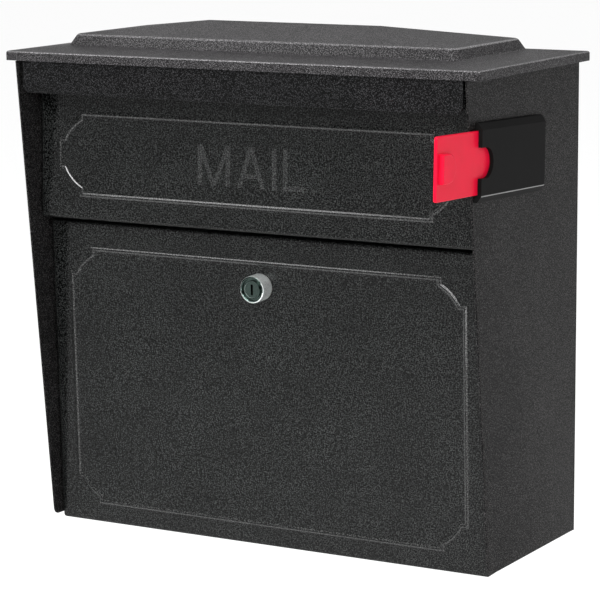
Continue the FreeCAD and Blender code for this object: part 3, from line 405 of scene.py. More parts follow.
# ---- finishes -----------------------------------------------------------------------------------
class Recipe:
    """A node material under construction."""

    def __init__(self, name: str) -> None:
        """Start an empty material with its surface shader.

        Args:
            name: the material's name.
        """
        self.material = bpy.data.materials.new(name)
        self.material.use_nodes = True
        self.tree = self.material.node_tree
        self.tree.nodes.clear()
        self.surface = self.tree.nodes.new("ShaderNodeBsdfPrincipled")
        output = self.tree.nodes.new("ShaderNodeOutputMaterial")
        self.tree.links.new(self.surface.outputs["BSDF"], output.inputs["Surface"])
        self.place = self.tree.nodes.new("ShaderNodeTexCoord").outputs["Object"]

    def set(self, **values: Any) -> None:
        """Set the surface shader's own sockets, named with underscores for spaces."""
        for key, value in values.items():
            self.surface.inputs[key.replace("_", " ")].default_value = value

    def link(self, source: bpy.types.NodeSocket, socket: str) -> None:
        """Feed one of the surface shader's sockets."""
        self.tree.links.new(source, self.surface.inputs[socket])

    def grain(self, scale: float, detail: float = 2.0, rough: float = 0.5) -> bpy.types.NodeSocket:
        """Cloudy noise over the piece.

        Args:
            scale: features per metre.
            detail: number of finer layers.
            rough: strength of the finer layers.

        Returns:
            The noise value.
        """
        node = self.tree.nodes.new("ShaderNodeTexNoise")
        node.inputs["Scale"].default_value = scale
        node.inputs["Detail"].default_value = detail
        node.inputs["Roughness"].default_value = rough
        self.tree.links.new(self.place, node.inputs["Vector"])
        return node.outputs["Fac"]

    def stretched(self, scale: Point) -> bpy.types.NodeSocket:
        """Noise drawn out along one direction, as brushing leaves it.

        Args:
            scale: features per metre along X, Y and Z.

        Returns:
            The noise value.
        """
        mapping = self.tree.nodes.new("ShaderNodeMapping")
        mapping.inputs["Scale"].default_value = scale
        self.tree.links.new(self.place, mapping.inputs["Vector"])
        node = self.tree.nodes.new("ShaderNodeTexNoise")
        node.inputs["Scale"].default_value = 1.0
        node.inputs["Detail"].default_value = 2.0
        self.tree.links.new(mapping.outputs["Vector"], node.inputs["Vector"])
        return node.outputs["Fac"]

    def dimples(self, scale: float) -> bpy.types.NodeSocket:
        """Rounded cells, as a hammered coat dries.

        Args:
            scale: cells per metre.

        Returns:
            Distance from each cell's middle.
        """
        node = self.tree.nodes.new("ShaderNodeTexVoronoi")
        node.feature = "SMOOTH_F1"
        node.inputs["Scale"].default_value = scale
        node.inputs["Smoothness"].default_value = 0.4
        self.tree.links.new(self.place, node.inputs["Vector"])
        return node.outputs["Distance"]

    def mix(self, kind: str, first: Any, second: Any) -> bpy.types.NodeSocket:
        """Combine two values, each a socket or a number.

        Args:
            kind: the operation's name.
            first: first value.
            second: second value.

        Returns:
            The result.
        """
        node = self.tree.nodes.new("ShaderNodeMath")
        node.operation = kind
        for socket, value in zip(node.inputs, (first, second)):
            if isinstance(value, (int, float)):
                socket.default_value = value
            else:
                self.tree.links.new(value, socket)
        return node.outputs["Value"]

    def spread(self, value: bpy.types.NodeSocket, low: float, high: float, to_low: float,
               to_high: float) -> bpy.types.NodeSocket:
        """Stretch a range of values onto another.

        Args:
            value: the value.
            low: start of its range.
            high: end of its range.
            to_low: what the start becomes.
            to_high: what the end becomes.

        Returns:
            The stretched value.
        """
        node = self.tree.nodes.new("ShaderNodeMapRange")
        node.inputs["From Min"].default_value = low
        node.inputs["From Max"].default_value = high
        node.inputs["To Min"].default_value = to_low
        node.inputs["To Max"].default_value = to_high
        self.tree.links.new(value, node.inputs["Value"])
        return node.outputs["Result"]

    def tones(self, value: bpy.types.NodeSocket,
              stops: Sequence[tuple[float, Point]]) -> bpy.types.NodeSocket:
        """Colours along a value.

        Args:
            value: the value.
            stops: (position, colour) pairs in rising order.

        Returns:
            The colour.
        """
        node = self.tree.nodes.new("ShaderNodeValToRGB")
        ramp = node.color_ramp
        while len(ramp.elements) < len(stops):
            ramp.elements.new(1.0)
        for element, (position, colour) in zip(ramp.elements, stops):
            element.position = position
            element.color = (*colour, 1.0)
        self.tree.links.new(value, node.inputs["Fac"])
        return node.outputs["Color"]

    def relief(self, value: bpy.types.NodeSocket, depth: float, strength: float = 1.0) -> None:
        """Raise and sink the surface's shading.

        Args:
            value: the height.
            depth: metres between heights 0 and 1.
            strength: how much of it shows.
        """
        node = self.tree.nodes.new("ShaderNodeBump")
        node.inputs["Distance"].default_value = depth
        node.inputs["Strength"].default_value = strength
        self.tree.links.new(value, node.inputs["Height"])
        self.link(node.outputs["Normal"], "Normal")


class Finish:
    """Something a piece is coated with or made of. Each finish builds its material once."""

    name: str

    def material(self) -> bpy.types.Material:
        """The finish's material, built the first time it is asked for."""
        found = bpy.data.materials.get(self.name)
        if found is None:
            recipe = Recipe(self.name)
            self.mix_up(recipe)
            found = recipe.material
        return found

    def mix_up(self, recipe: Recipe) -> None:
        """Add the finish's nodes to an empty recipe."""
        raise NotImplementedError


@dataclass(frozen=True)
class HammeredCoat(Finish):
    """Black and silver hammered powder coat: dark hollows between small lighter flecks."""

    name: str
    dark: tuple[float, float, float]
    light: tuple[float, float, float]
    fleck: tuple[float, float, float]
    cell: float = 0.95 * MM
    depth: float = 0.10 * MM
    gloss: float = 0.45
    shine: float = 0.10
    clear: float = 0.12                 # share of smooth clear coat, which gives the thin glints

    def mix_up(self, recipe: Recipe) -> None:
        """Cells and finer noise drive the colour, the gloss and the relief."""
        cells = recipe.dimples(1.0 / self.cell)
        fine = recipe.grain(1.3 / self.cell, 3.0, 0.6)
        broad = recipe.grain(22.0, 2.0)
        height = recipe.mix("ADD", recipe.mix("MULTIPLY", cells, -0.6), fine)
        tone = recipe.mix("ADD", height, recipe.mix("MULTIPLY", broad, 0.10))
        shades = ((0.14, self.dark), (0.30, self.light), (0.46, self.fleck))
        recipe.link(recipe.tones(tone, shades), "Base Color")
        recipe.link(recipe.spread(fine, 0.3, 0.7, self.gloss + 0.08, self.gloss - 0.08), "Roughness")
        recipe.set(Specular_IOR_Level=self.shine, Coat_Weight=self.clear, Coat_Roughness=0.12)
        recipe.relief(height, self.depth)


@dataclass(frozen=True)
class ZincPlate(Finish):
    """Bright zinc with faint drawn lines and dull patches."""

    name: str = "zinc_plate"
    tone: tuple[float, float, float] = (0.60, 0.60, 0.58)

    def mix_up(self, recipe: Recipe) -> None:
        """Patches change the tone and lines change the gloss."""
        patches = recipe.grain(160.0, 3.0)
        lines = recipe.stretched((40.0, 900.0, 900.0))
        dull = tuple(0.72 * part for part in self.tone)
        recipe.link(recipe.tones(patches, ((0.35, dull), (0.65, self.tone))), "Base Color")
        recipe.link(recipe.spread(lines, 0.3, 0.7, 0.26, 0.42), "Roughness")
        recipe.set(Metallic=1.0)
        recipe.relief(lines, 0.01 * MM, 0.5)


@dataclass(frozen=True)
class Chrome(Finish):
    """Polished chrome with fine wiping marks and a little grime."""

    name: str = "lock_chrome_plate"
    tone: tuple[float, float, float] = (0.80, 0.84, 0.83)
    polish: float = 0.36
    metal: float = 0.65                 # the plating is worn satin, so part of its light is scattered

    def mix_up(self, recipe: Recipe) -> None:
        """Faint grime dulls the polish in places."""
        grime = recipe.grain(900.0, 4.0, 0.6)
        dull = tuple(0.6 * part for part in self.tone)
        recipe.link(recipe.tones(grime, ((0.30, dull), (0.52, self.tone))), "Base Color")
        recipe.link(recipe.spread(grime, 0.3, 0.7, self.polish + 0.10, self.polish - 0.04), "Roughness")
        recipe.set(Metallic=self.metal)
        recipe.relief(grime, 0.006 * MM, 0.4)


@dataclass(frozen=True)
class StampedBrass(Finish):
    """Stamped brass, slightly tarnished."""

    name: str = "stamped_brass"

    def mix_up(self, recipe: Recipe) -> None:
        """Tarnish darkens the brass in small patches."""
        tarnish = recipe.grain(700.0, 4.0)
        shades = ((0.35, (0.36, 0.25, 0.09)), (0.6, (0.72, 0.54, 0.24)))
        recipe.link(recipe.tones(tarnish, shades), "Base Color")
        recipe.link(recipe.spread(tarnish, 0.3, 0.7, 0.42, 0.25), "Roughness")
        recipe.set(Metallic=1.0)


@dataclass(frozen=True)
class SoftRubber(Finish):
    """Matt black rubber."""

    name: str = "bumper_rubber_black"

    def mix_up(self, recipe: Recipe) -> None:
        """Fine grain breaks up the dull surface."""
        grain = recipe.grain(1800.0, 3.0)
        shades = ((0.3, (0.012, 0.012, 0.012)), (0.7, (0.030, 0.030, 0.030)))
        recipe.link(recipe.tones(grain, shades), "Base Color")
        recipe.link(recipe.spread(grain, 0.3, 0.7, 0.85, 0.65), "Roughness")
        recipe.relief(grain, 0.03 * MM)


@dataclass(frozen=True)
class MouldedPlastic(Finish):
    """Injection moulded plastic with slight flow marks and a fine skin."""

    name: str
    deep: tuple[float, float, float]
    pale: tuple[float, float, float]
    gloss: float
    skin: float = 0.01 * MM
    shine: float = 0.5
    glow_under: float = 0.0

    def mix_up(self, recipe: Recipe) -> None:
        """Flow marks vary the colour and gloss; the skin is a very fine relief."""
        flow = recipe.grain(55.0, 3.0)
        skin = recipe.grain(2600.0, 2.0)
        recipe.link(recipe.tones(flow, ((0.3, self.deep), (0.7, self.pale))), "Base Color")
        marks = recipe.mix("ADD", flow, skin)
        recipe.link(recipe.spread(marks, 0.7, 1.3, self.gloss - 0.05, self.gloss + 0.06), "Roughness")
        recipe.set(Subsurface_Weight=self.glow_under, Subsurface_Scale=0.002, Specular_IOR_Level=self.shine)
        recipe.relief(skin, self.skin)


CASE_COAT = HammeredCoat("hammered_coat_case", (0.0015, 0.0014, 0.0014), (0.006, 0.0057, 0.0057),
                         (0.062, 0.060, 0.060), shine=0.05, clear=0.05)
# Painted shade: the case coat made darker for the hood under the lid.
HOOD_PAINTED_SHADE_COAT = HammeredCoat("hammered_coat_hood_painted_shade", (0.001, 0.001, 0.0011), (0.003, 0.003, 0.0032),
                         (0.040, 0.040, 0.042), shine=0.06, clear=0.08)
DOOR_COAT = HammeredCoat("hammered_coat_door", (0.001, 0.0011, 0.0011), (0.003, 0.0032, 0.0032),
                         (0.040, 0.042, 0.041), shine=0.03, clear=0.30)
# Painted highlight: the door coat made lighter for the border's slopes, with more clear coat.
BEAD_PAINTED_HIGHLIGHT_COAT = HammeredCoat("painted_highlight_on_bead", (0.005, 0.0052, 0.0051), (0.014, 0.0145, 0.0143),
                         (0.070, 0.072, 0.071), shine=0.05, clear=0.70)
# Painted highlight: the door coat made lighter for the letters, with more clear coat.
LETTER_PAINTED_HIGHLIGHT_COAT = HammeredCoat("painted_highlight_on_letters", (0.006, 0.0061, 0.0061), (0.016, 0.0163, 0.0162),
                           (0.065, 0.067, 0.066), shine=0.05, clear=0.34)
LID_COAT = HammeredCoat("hammered_coat_lid", (0.010, 0.0096, 0.0100), (0.026, 0.025, 0.026),
                        (0.12, 0.116, 0.12), cell=0.80 * MM, shine=0.05, clear=0.08)
# Painted highlight: the lid coat made lighter for the upturned bends, with more clear coat.
LID_EDGE_PAINTED_HIGHLIGHT_COAT = HammeredCoat("painted_highlight_on_lid_edges", (0.030, 0.029, 0.030), (0.075, 0.072, 0.075),
                             (0.24, 0.232, 0.24), cell=0.80 * MM, shine=0.10, clear=0.60)
ZINC = ZincPlate()
CHROME = Chrome()
# Painted dark reflection: the chrome made dark for the lock's face and plug.
CHROME_PAINTED_DARK_REFLECTION = Chrome("lock_chrome_painted_dark_reflection", (0.050, 0.070, 0.063), 0.16, 1.0)
BRASS = StampedBrass()
RUBBER = SoftRubber()
FLAG_RED = MouldedPlastic("flag_red_plastic", (0.60, 0.003, 0.026), (0.66, 0.005, 0.033), 0.34, shine=0.10,
                          glow_under=0.05)
HOLDER_BLACK = MouldedPlastic("holder_black_plastic", (0.0045, 0.0045, 0.0045), (0.007, 0.007, 0.007), 0.50,
                              0.02 * MM, shine=0.03)
# Painted highlight: light grey plastic for the holder's lower outer edge.
HOLDER_PAINTED_HIGHLIGHT = MouldedPlastic("holder_painted_highlight_edge", (0.10, 0.10, 0.10), (0.16, 0.16, 0.16), 0.40, shine=0.4)


# ---- small tests on mesh parts ------------------------------------------------------------------
def runs_along(edge: Any, axis: int) -> bool:
    """True when an edge runs along X, Y or Z, given as 0, 1 or 2."""
    step = edge.verts[1].co - edge.verts[0].co
    return step.length > TOUCH and abs(step[axis]) > 0.999 * step.length


def at(item: Any, axis: int, value: float, gap: float = 5e-6) -> bool:
    """True when every vertex of an edge or face has this coordinate."""
    return all(abs(vert.co[axis] - value) < gap for vert in item.verts)


def joint_place(name: str) -> Vector:
    """The point that a frame joint turns about."""
    return Vector(joint_facts(name)["pos_m"])


def joint_facts(name: str) -> dict[str, Any]:
    """A frame joint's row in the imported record."""
    return next(row for row in frame["record"]["behaviour"]["joints"] if row["name"] == name)


# ---- case ---------------------------------------------------------------------------------------
@dataclass
class Case:
    """Side panels and hood strip."""

    toe_run: float = 38.5 * MM          # a side's front edge runs back this far from top to bottom
    toe_radius: float = 5.0 * MM
    rear_flange: float = 12.0 * MM
    top_flange: float = 9.0 * MM
    edge_round: float = 0.45 * MM
    hood_corner: float = 6.0 * MM
    upright_height: float = 362.2 * MM  # a side's outline, below the flange inside the lid

    def build(self) -> None:
        """Make the sides and the hood."""
        left = self.side()
        right = left.copy("right_side_sheet")
        right.flip_side()
        left.fit("case", Slot.CASE, CASE_COAT, "left_side_panel")
        right.fit("case", Slot.CASE, CASE_COAT, "right_side_panel")
        # The hood gets the darker copy of the case coat: painted shade.
        self.hood().fit("case", Slot.CASE, HOOD_PAINTED_SHADE_COAT, "front_valance")

    def side(self) -> Workpiece:
        """Left side: a tapered sheet, its rear flange and its top flange.

        Returns:
            The finished piece.
        """
        low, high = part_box("left_side_panel")
        top = low.z + self.upright_height
        sheet = Workpiece.block("left_side_sheet", low, (low.x + SHEET, high.y, top))
        with sheet.editing():
            sheet.pick(Pick.EDGES, lambda e: at(e, 1, low.y) and at(e, 2, low.z))
            bpy.ops.transform.translate(value=(0.0, self.toe_run, 0.0))
        sheet.soften(lambda e: runs_along(e, 0) and at(e, 1, low.y + self.toe_run), self.toe_radius, 6)
        sheet.soften(lambda e: len(e.link_faces) == 2 and e.calc_face_angle(0.0) > 1.0, self.edge_round, 3)
        rear = Workpiece.block("rear_flange", (low.x + SHEET, high.y - 2 * SHEET, low.z),
                               (low.x + SHEET + self.rear_flange, high.y - SHEET, top))
        cap = Workpiece.block("top_flange", (low.x + SHEET, low.y + 4 * MM, high.z - SHEET),
                              (low.x + SHEET + self.top_flange, high.y - 2 * SHEET, high.z))
        rib = Workpiece.block("top_web", (low.x + 0.01 * MM, low.y + 4 * MM, top - SHEET),
                              (low.x + SHEET, high.y - SHEET, high.z))
        sheet.join(rear, cap, rib)
        sheet.smooth()
        return sheet

    def hood(self) -> Workpiece:
        """Strip under the lid's front, with round lower corners and a fold onto the body top.

        Returns:
            The finished piece.
        """
        low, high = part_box("front_valance")
        strip = Workpiece.block("hood_strip", low, (high.x, low.y + SHEET, high.z))
        strip.soften(lambda e: runs_along(e, 1) and at(e, 2, low.z), self.hood_corner, 8)
        with strip.editing():
            strip.pick(Pick.FACES, lambda f: f.normal.y < -0.9)
            bpy.ops.mesh.inset(thickness=self.edge_round)
        strip.soften(lambda e: at(e, 1, low.y) and e.calc_face_angle(0.0) > 1.0, self.edge_round * 0.9, 3)
        fold = Workpiece.block("hood_fold", (low.x, low.y + SHEET, high.z - SHEET), (high.x, high.y, high.z))
        strip.join(fold)
        strip.smooth()
        return strip


@dataclass
class Lid:
    """Pressed lid: turned-down rim, sloping flange, raised plateau and low hipped top."""

    rim: float = 6.9 * MM
    flange_rise: float = 3.1 * MM
    flange_side: float = 32.8 * MM
    flange_front: float = 34.0 * MM
    flange_back: float = 38.0 * MM
    riser: float = 8.4 * MM
    riser_inset: float = 4.5 * MM
    ridge_length: float = 149.0 * MM
    rim_corner: float = 3.0 * MM
    plateau_corner: float = 8.0 * MM
    corner_steps: int = 8
    bend: float = 1.3 * MM
    edge_area: float = 450.0 * MM * MM  # bends are narrow strips; the flats and the roof are larger

    def build(self) -> None:
        """Make the lid."""
        low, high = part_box("lid")
        rim_top = low.z + self.rim
        foot = rim_top + self.flange_rise
        eaves = foot + self.riser
        rings = [
            self.ring(low.z, 0.0, 0.0, 0.0, self.rim_corner),
            self.ring(rim_top, 0.0, 0.0, 0.0, self.rim_corner),
            self.ring(foot, self.flange_side, self.flange_front, self.flange_back, self.plateau_corner),
            self.ring(eaves, self.flange_side + self.riser_inset, self.flange_front + self.riser_inset,
                      self.flange_back + self.riser_inset, self.plateau_corner),
        ]
        skin = rings[0]
        skin.join(*rings[1:])
        with skin.editing():
            bpy.ops.mesh.select_all(action="SELECT")
            bpy.ops.mesh.delete(type="ONLY_FACE")
            for lower, upper in ((low.z, rim_top), (rim_top, foot), (foot, eaves)):
                skin.pick(Pick.EDGES, lambda e: (at(e, 2, lower) or at(e, 2, upper)))
                bpy.ops.mesh.bridge_edge_loops()
            self.raise_roof(skin, eaves, high.z)
            bpy.ops.mesh.select_all(action="SELECT")
            bpy.ops.mesh.normals_make_consistent(inside=False)
        for level in (rim_top, foot, eaves):
            skin.soften(lambda e: at(e, 2, level), self.bend, 4)
        skin.thicken(SHEET)
        skin.smooth(16.0)
        skin.obj.name = "lid_pressing"
        # The upturned faces of the rim's and the eaves' bends get a lighter coat: painted highlight.
        bends = (rim_top, eaves)
        skin.accent(LID_EDGE_PAINTED_HIGHLIGHT_COAT, lambda f: f.normal.z > 0.2 and f.calc_area() < self.edge_area
                    and any(abs(f.calc_center_median().z - level) < self.bend for level in bends))
        skin.mark_accents()
        skin.fit("case", Slot.LID, LID_COAT, "lid")

    def ring(self, z: float, side: float, front: float, back: float, radius: float) -> Workpiece:
        """One level of the lid's plan.

        Args:
            z: its height.
            side: how far inside the lid's side edges.
            front: how far inside its front edge.
            back: how far inside its back edge.
            radius: the corners' radius.

        Returns:
            A flat plate with round corners.
        """
        low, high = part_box("lid")
        plate = Workpiece.plate("lid_level", (low.x + side, low.y + front), (high.x - side, high.y - back), z)
        with plate.editing():
            bpy.ops.mesh.select_all(action="SELECT")
            bpy.ops.mesh.bevel(offset=radius, segments=self.corner_steps, affect="VERTICES")
        return plate

    def raise_roof(self, skin: Workpiece, eaves: float, top: float) -> None:
        """Pull the eaves up to the ridge.

        Args:
            skin: the lid, in edit mode.
            eaves: height of the eaves.
            top: height of the ridge.
        """
        low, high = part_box("lid")
        inset = self.riser_inset
        front = low.y + self.flange_front + inset
        back = high.y - self.flange_back - inset
        width = high.x - low.x - 2 * (self.flange_side + inset)
        skin.pick(Pick.EDGES, lambda e: at(e, 2, eaves))
        bpy.ops.mesh.extrude_edges_move(TRANSFORM_OT_translate={"value": (0.0, 0.0, top - eaves)})
        bpy.ops.transform.resize(value=(self.ridge_length / width, 0.0, 1.0),
                                 center_override=(0.0, (front + back) / 2, top))
        bpy.ops.mesh.select_all(action="SELECT")
        bpy.ops.mesh.remove_doubles(threshold=5 * TOUCH)


# ---- doors --------------------------------------------------------------------------------------
# Share of the bead's height gained at each inset, from its foot to its crown
BEAD_SHARES = (0.13, 0.26, 0.26, 0.26, 0.09)


@dataclass
class Door:
    """Folded sheet door with a soft pressed border; its own frame has Y inwards and Z up its face."""

    name: str
    node: str
    body: str
    hinge: str
    lean: float                         # degrees; positive brings the top forward
    height: float
    axis_rise: float                    # hinge above the lower edge
    border_low: float
    border_high: float
    half_width: float = 187.4 * MM
    fold: float = 12.0 * MM
    bend: float = 2.5 * MM
    axis_depth: float = 6.5 * MM
    rod_hole: float = 2.55 * MM
    border_side: float = 17.5 * MM
    notch: float = 20.0 * MM
    notch_step: float = 4.7 * MM
    notch_arc: float = 34.0 * MM
    bead_width: float = 4.0 * MM
    bead_height: float = 0.9 * MM
    open_top: bool = False
    arc_steps: int = 10

    def border(self) -> list[Vector]:
        """Corners of the pressed border's outer edge, with a stepped, swelling arc at each corner.

        Returns:
            Points in order round the border.
        """
        grow = self.bead_width / 2
        half = self.half_width - self.border_side
        reach = self.notch - grow
        radius = self.notch_arc + grow
        spread = (self.notch - self.notch_step) / 2
        centre = (self.notch + self.notch_step) / 2 + math.sqrt(self.notch_arc ** 2 / 2 - spread ** 2)
        start = math.asin((centre - reach) / radius)
        corner = [(-grow, reach)]
        for step in range(self.arc_steps + 1):
            angle = start + (math.pi / 2 - 2 * start) * step / self.arc_steps
            corner.append((centre - radius * math.cos(angle), centre - radius * math.sin(angle)))
        corner.append((reach, -grow))
        turns = ((-half, self.border_low, 1, 1), (half, self.border_low, -1, 1),
                 (half, self.border_high, -1, -1), (-half, self.border_high, 1, -1))
        points: list[Vector] = []
        for x, z, right, up in turns:
            run = [Vector((x + right * a, 0.0, z + up * b)) for a, b in corner]
            points += run if right == up else run[::-1]
        return points

    @staticmethod
    def pressed(rises: Sequence[float], width: float) -> None:
        """Press the selected outline outwards by small insets, in edit mode.

        Args:
            rises: height gained at each inset.
            width: width of each inset.
        """
        for rise in rises:
            bpy.ops.mesh.inset(thickness=width, depth=rise, use_even_offset=True)

    def filled(self, piece: Workpiece) -> None:
        """Fill the drawn outline and face it outwards, in edit mode, leaving its faces selected.

        Args:
            piece: the drawn outline.
        """
        bpy.ops.mesh.select_all(action="SELECT")
        bpy.ops.mesh.edge_face_add()
        self.face_front(piece)

    def face_front(self, piece: Workpiece) -> None:
        """Turn the flat faces in the door's plane towards the front, in edit mode, and select them.

        Args:
            piece: the workpiece.
        """
        if piece.pick(Pick.FACES, lambda f: f.normal.y > 0.9):
            bpy.ops.mesh.flip_normals()
        piece.pick(Pick.FACES, lambda f: abs(f.normal.y) > 0.9)

    def bead(self) -> Workpiece:
        """The pressed border, with the flat panel inside it taken away.

        Returns:
            The ring of the border.
        """
        piece = Workpiece.drawn("bead", self.border())
        with piece.editing():
            self.filled(piece)
            rises = [share * self.bead_height for share in BEAD_SHARES]
            self.pressed(rises + [-rise for rise in reversed(rises)], self.bead_width / 10)
            bpy.ops.mesh.delete(type="ONLY_FACE")
        return piece

    def pan(self) -> Workpiece:
        """The folded edges round an open front.

        Returns:
            The open pan.
        """
        half = self.half_width
        pan = Workpiece.block(self.name, (-half, 0.0, 0.0), (half, self.fold, self.height))
        pan.drop(lambda f: f.normal.y > 0.9 or (self.open_top and f.normal.z > 0.9))
        pan.soften(lambda e: len(e.link_faces) == 2, self.bend, 6)
        pan.drop(lambda f: f.normal.y < -0.999, keep_edges=True)
        return pan

    def skin(self, inside: Sequence[Workpiece]) -> Workpiece:
        """The door's outer skin: folded edges, flat face, border and whatever is pressed inside it.

        Args:
            inside: pieces pressed into the panel within the border.

        Returns:
            The closed-up skin, one sheet with no thickness yet.
        """
        outline = self.border()
        bead = self.bead()
        pan = self.pan()
        bead.join(*inside)
        with bead.editing():
            bead.pick(Pick.EDGES, lambda e: len(e.link_faces) < 2 and not self.on_outline(e, outline))
            bpy.ops.mesh.fill(use_beauty=True)
            self.face_front(bead)
        pan.join(bead)
        with pan.editing():
            pan.pick(Pick.EDGES, lambda e: len(e.link_faces) < 2 and at(e, 1, 0.0))
            bpy.ops.mesh.fill(use_beauty=True)
            bpy.ops.mesh.select_all(action="SELECT")
            bpy.ops.mesh.remove_doubles(threshold=TOUCH)
            bpy.ops.mesh.normals_make_consistent(inside=False)
            self.face_front(pan)
        return pan

    @staticmethod
    def on_outline(edge: Any, outline: Sequence[Vector]) -> bool:
        """True when both ends of an edge are corners of the outline."""
        return all(min((v.co - corner).length for corner in outline) < TOUCH for v in edge.verts)

    def paint_slope_highlights(self, piece: Workpiece) -> None:
        """Give the slopes of the border and of the word a lighter, glossier coat; the lighter colour is a
        painted highlight.

        Args:
            piece: the door, in its own frame.
        """
        half = self.half_width - self.border_side
        step = self.notch + self.bead_width
        low, high = self.border_low + self.bead_width, self.border_high - self.bead_width

        def slope(face: Any) -> bool:
            """True on a front slope of the pressed work."""
            middle = face.calc_center_median()
            inside = middle.y < TOUCH and abs(middle.x) < half + self.bead_width
            return inside and -0.95 < face.normal.y < -0.5

        def in_word(face: Any) -> bool:
            """True well inside the border."""
            middle = face.calc_center_median()
            return abs(middle.x) < half - step and low < middle.z < high

        # The slopes of the border and the letters' raised faces get lighter coats: painted highlight.
        piece.accent(BEAD_PAINTED_HIGHLIGHT_COAT, lambda f: slope(f) and not in_word(f))
        piece.accent(LETTER_PAINTED_HIGHLIGHT_COAT, lambda f: f.normal.y < -0.5 and in_word(f)
                     and f.calc_center_median().y < -0.05 * MM)
        piece.mark_accents()

    def seat(self, piece: Workpiece) -> None:
        """Lean the door and hang it on its hinge.

        Args:
            piece: the door, in its own frame.
        """
        turn = Matrix.Rotation(math.radians(self.lean), 3, "X")
        hinge = joint_place(self.hinge)
        origin = hinge - turn @ Vector((0.0, self.axis_depth, self.axis_rise))
        piece.place(math.radians(self.lean), (0.0, origin.y, origin.z))

    def rod_bore(self) -> Workpiece:
        """Cutter for the hinge rod's holes in the folded sides."""
        reach = self.half_width + 2 * MM
        return Workpiece.disc_bar("rod_cutter", self.rod_hole, (-reach, self.axis_depth, self.axis_rise),
                                  (reach, self.axis_depth, self.axis_rise), 32)


@dataclass
class SlotDoor(Door):
    """Upper door, with the plain word pressed into it."""

    letter_height: float = 31.0 * MM
    stroke: float = 4.4 * MM
    letter_gap: float = 5.2 * MM
    letter_raise: float = 0.37 * MM
    letter_flank: float = 1.0 * MM
    m_width: float = 28.8 * MM
    a_width: float = 24.8 * MM
    l_width: float = 18.0 * MM
    bar_low: float = 7.4 * MM
    bar_high: float = 11.2 * MM
    word_drop: float = 2.0 * MM

    def build(self) -> None:
        """Make the upper door."""
        door = self.skin(self.word())
        door.thicken(SHEET)
        door.cut(self.rod_bore())
        door.smooth(28.0)
        self.paint_slope_highlights(door)
        self.seat(door)
        door.fit(self.body, Slot.DOOR, DOOR_COAT, self.node)

    def letters(self) -> list[tuple[float, list[Outline]]]:
        """Widths and outlines of the four block letters.

        Returns:
            For each letter its width and its outer and inner outlines as (x, z).
        """
        tall, wide = self.letter_height, self.stroke
        m, a, l_end = self.m_width, self.a_width, self.l_width
        inner = tall * (1 - wide / ((m - wide) / 2))
        valley = tall * wide / (m - wide)

        def leg(z: float) -> float:
            """Inner edge of the A's left leg at a height."""
            return wide + (a - wide) / 2 * z / tall

        peak = tall * (a - 2 * wide) / (a - wide)
        m_outline = [(0, 0), (wide, 0), (wide, inner), ((m - wide) / 2, 0), ((m + wide) / 2, 0),
                     (m - wide, inner), (m - wide, 0), (m, 0), (m, tall), (m - wide, tall),
                     (m / 2, valley), (wide, tall), (0, tall)]
        a_outer = [(0, 0), (wide, 0), (leg(self.bar_low), self.bar_low),
                   (a - leg(self.bar_low), self.bar_low),
                   (a - wide, 0), (a, 0), ((a + wide) / 2, tall), ((a - wide) / 2, tall)]
        a_eye = [(leg(self.bar_high), self.bar_high), (a - leg(self.bar_high), self.bar_high), (a / 2, peak)]
        i_outline = [(0, 0), (wide, 0), (wide, tall), (0, tall)]
        l_outline = [(0, 0), (l_end, 0), (l_end, wide), (wide, wide), (wide, tall), (0, tall)]
        return [(m, [m_outline]), (a, [a_outer, a_eye]), (wide, [i_outline]), (l_end, [l_outline])]

    def word(self) -> list[Workpiece]:
        """The plain word for mail, centred inside the border.

        Returns:
            One raised piece for each letter.
        """
        letters = self.letters()
        total = sum(width for width, _ in letters) + self.letter_gap * (len(letters) - 1)
        x = -total / 2
        z = (self.border_low + self.border_high) / 2 - self.word_drop - self.letter_height / 2
        pieces = []
        for width, outlines in letters:
            pieces.append(self.letter([[(x + a, 0.0, z + b) for a, b in outline] for outline in outlines]))
            x += width + self.letter_gap
        return pieces

    def letter(self, outlines: list[list[Point]]) -> Workpiece:
        """One raised letter with soft edges.

        Args:
            outlines: its outer outline, then the outline of its eye if it has one.

        Returns:
            The raised letter, open at its foot.
        """
        piece = Workpiece.drawn("letter", outlines[0])
        eye = [Workpiece.drawn("eye", outline) for outline in outlines[1:]]
        if eye:
            piece.join(*eye)
        with piece.editing():
            bpy.ops.mesh.select_all(action="SELECT")
            if eye:
                bpy.ops.mesh.fill(use_beauty=True)
            else:
                bpy.ops.mesh.edge_face_add()
            self.face_front(piece)
            rises = [share * self.letter_raise for share in (0.15, 0.35, 0.35, 0.15)]
            self.pressed(rises, self.letter_flank / 4)
        if eye:
            with piece.editing():
                spots = [Vector(point) for point in outlines[1]]
                piece.pick(Pick.VERTS, lambda v: any((v.co - spot).length < 5 * TOUCH for spot in spots))
                bpy.ops.mesh.edge_face_add()
                piece.pick(Pick.FACES, lambda f: f.normal.y > 0.9)
                bpy.ops.mesh.flip_normals()
        return piece


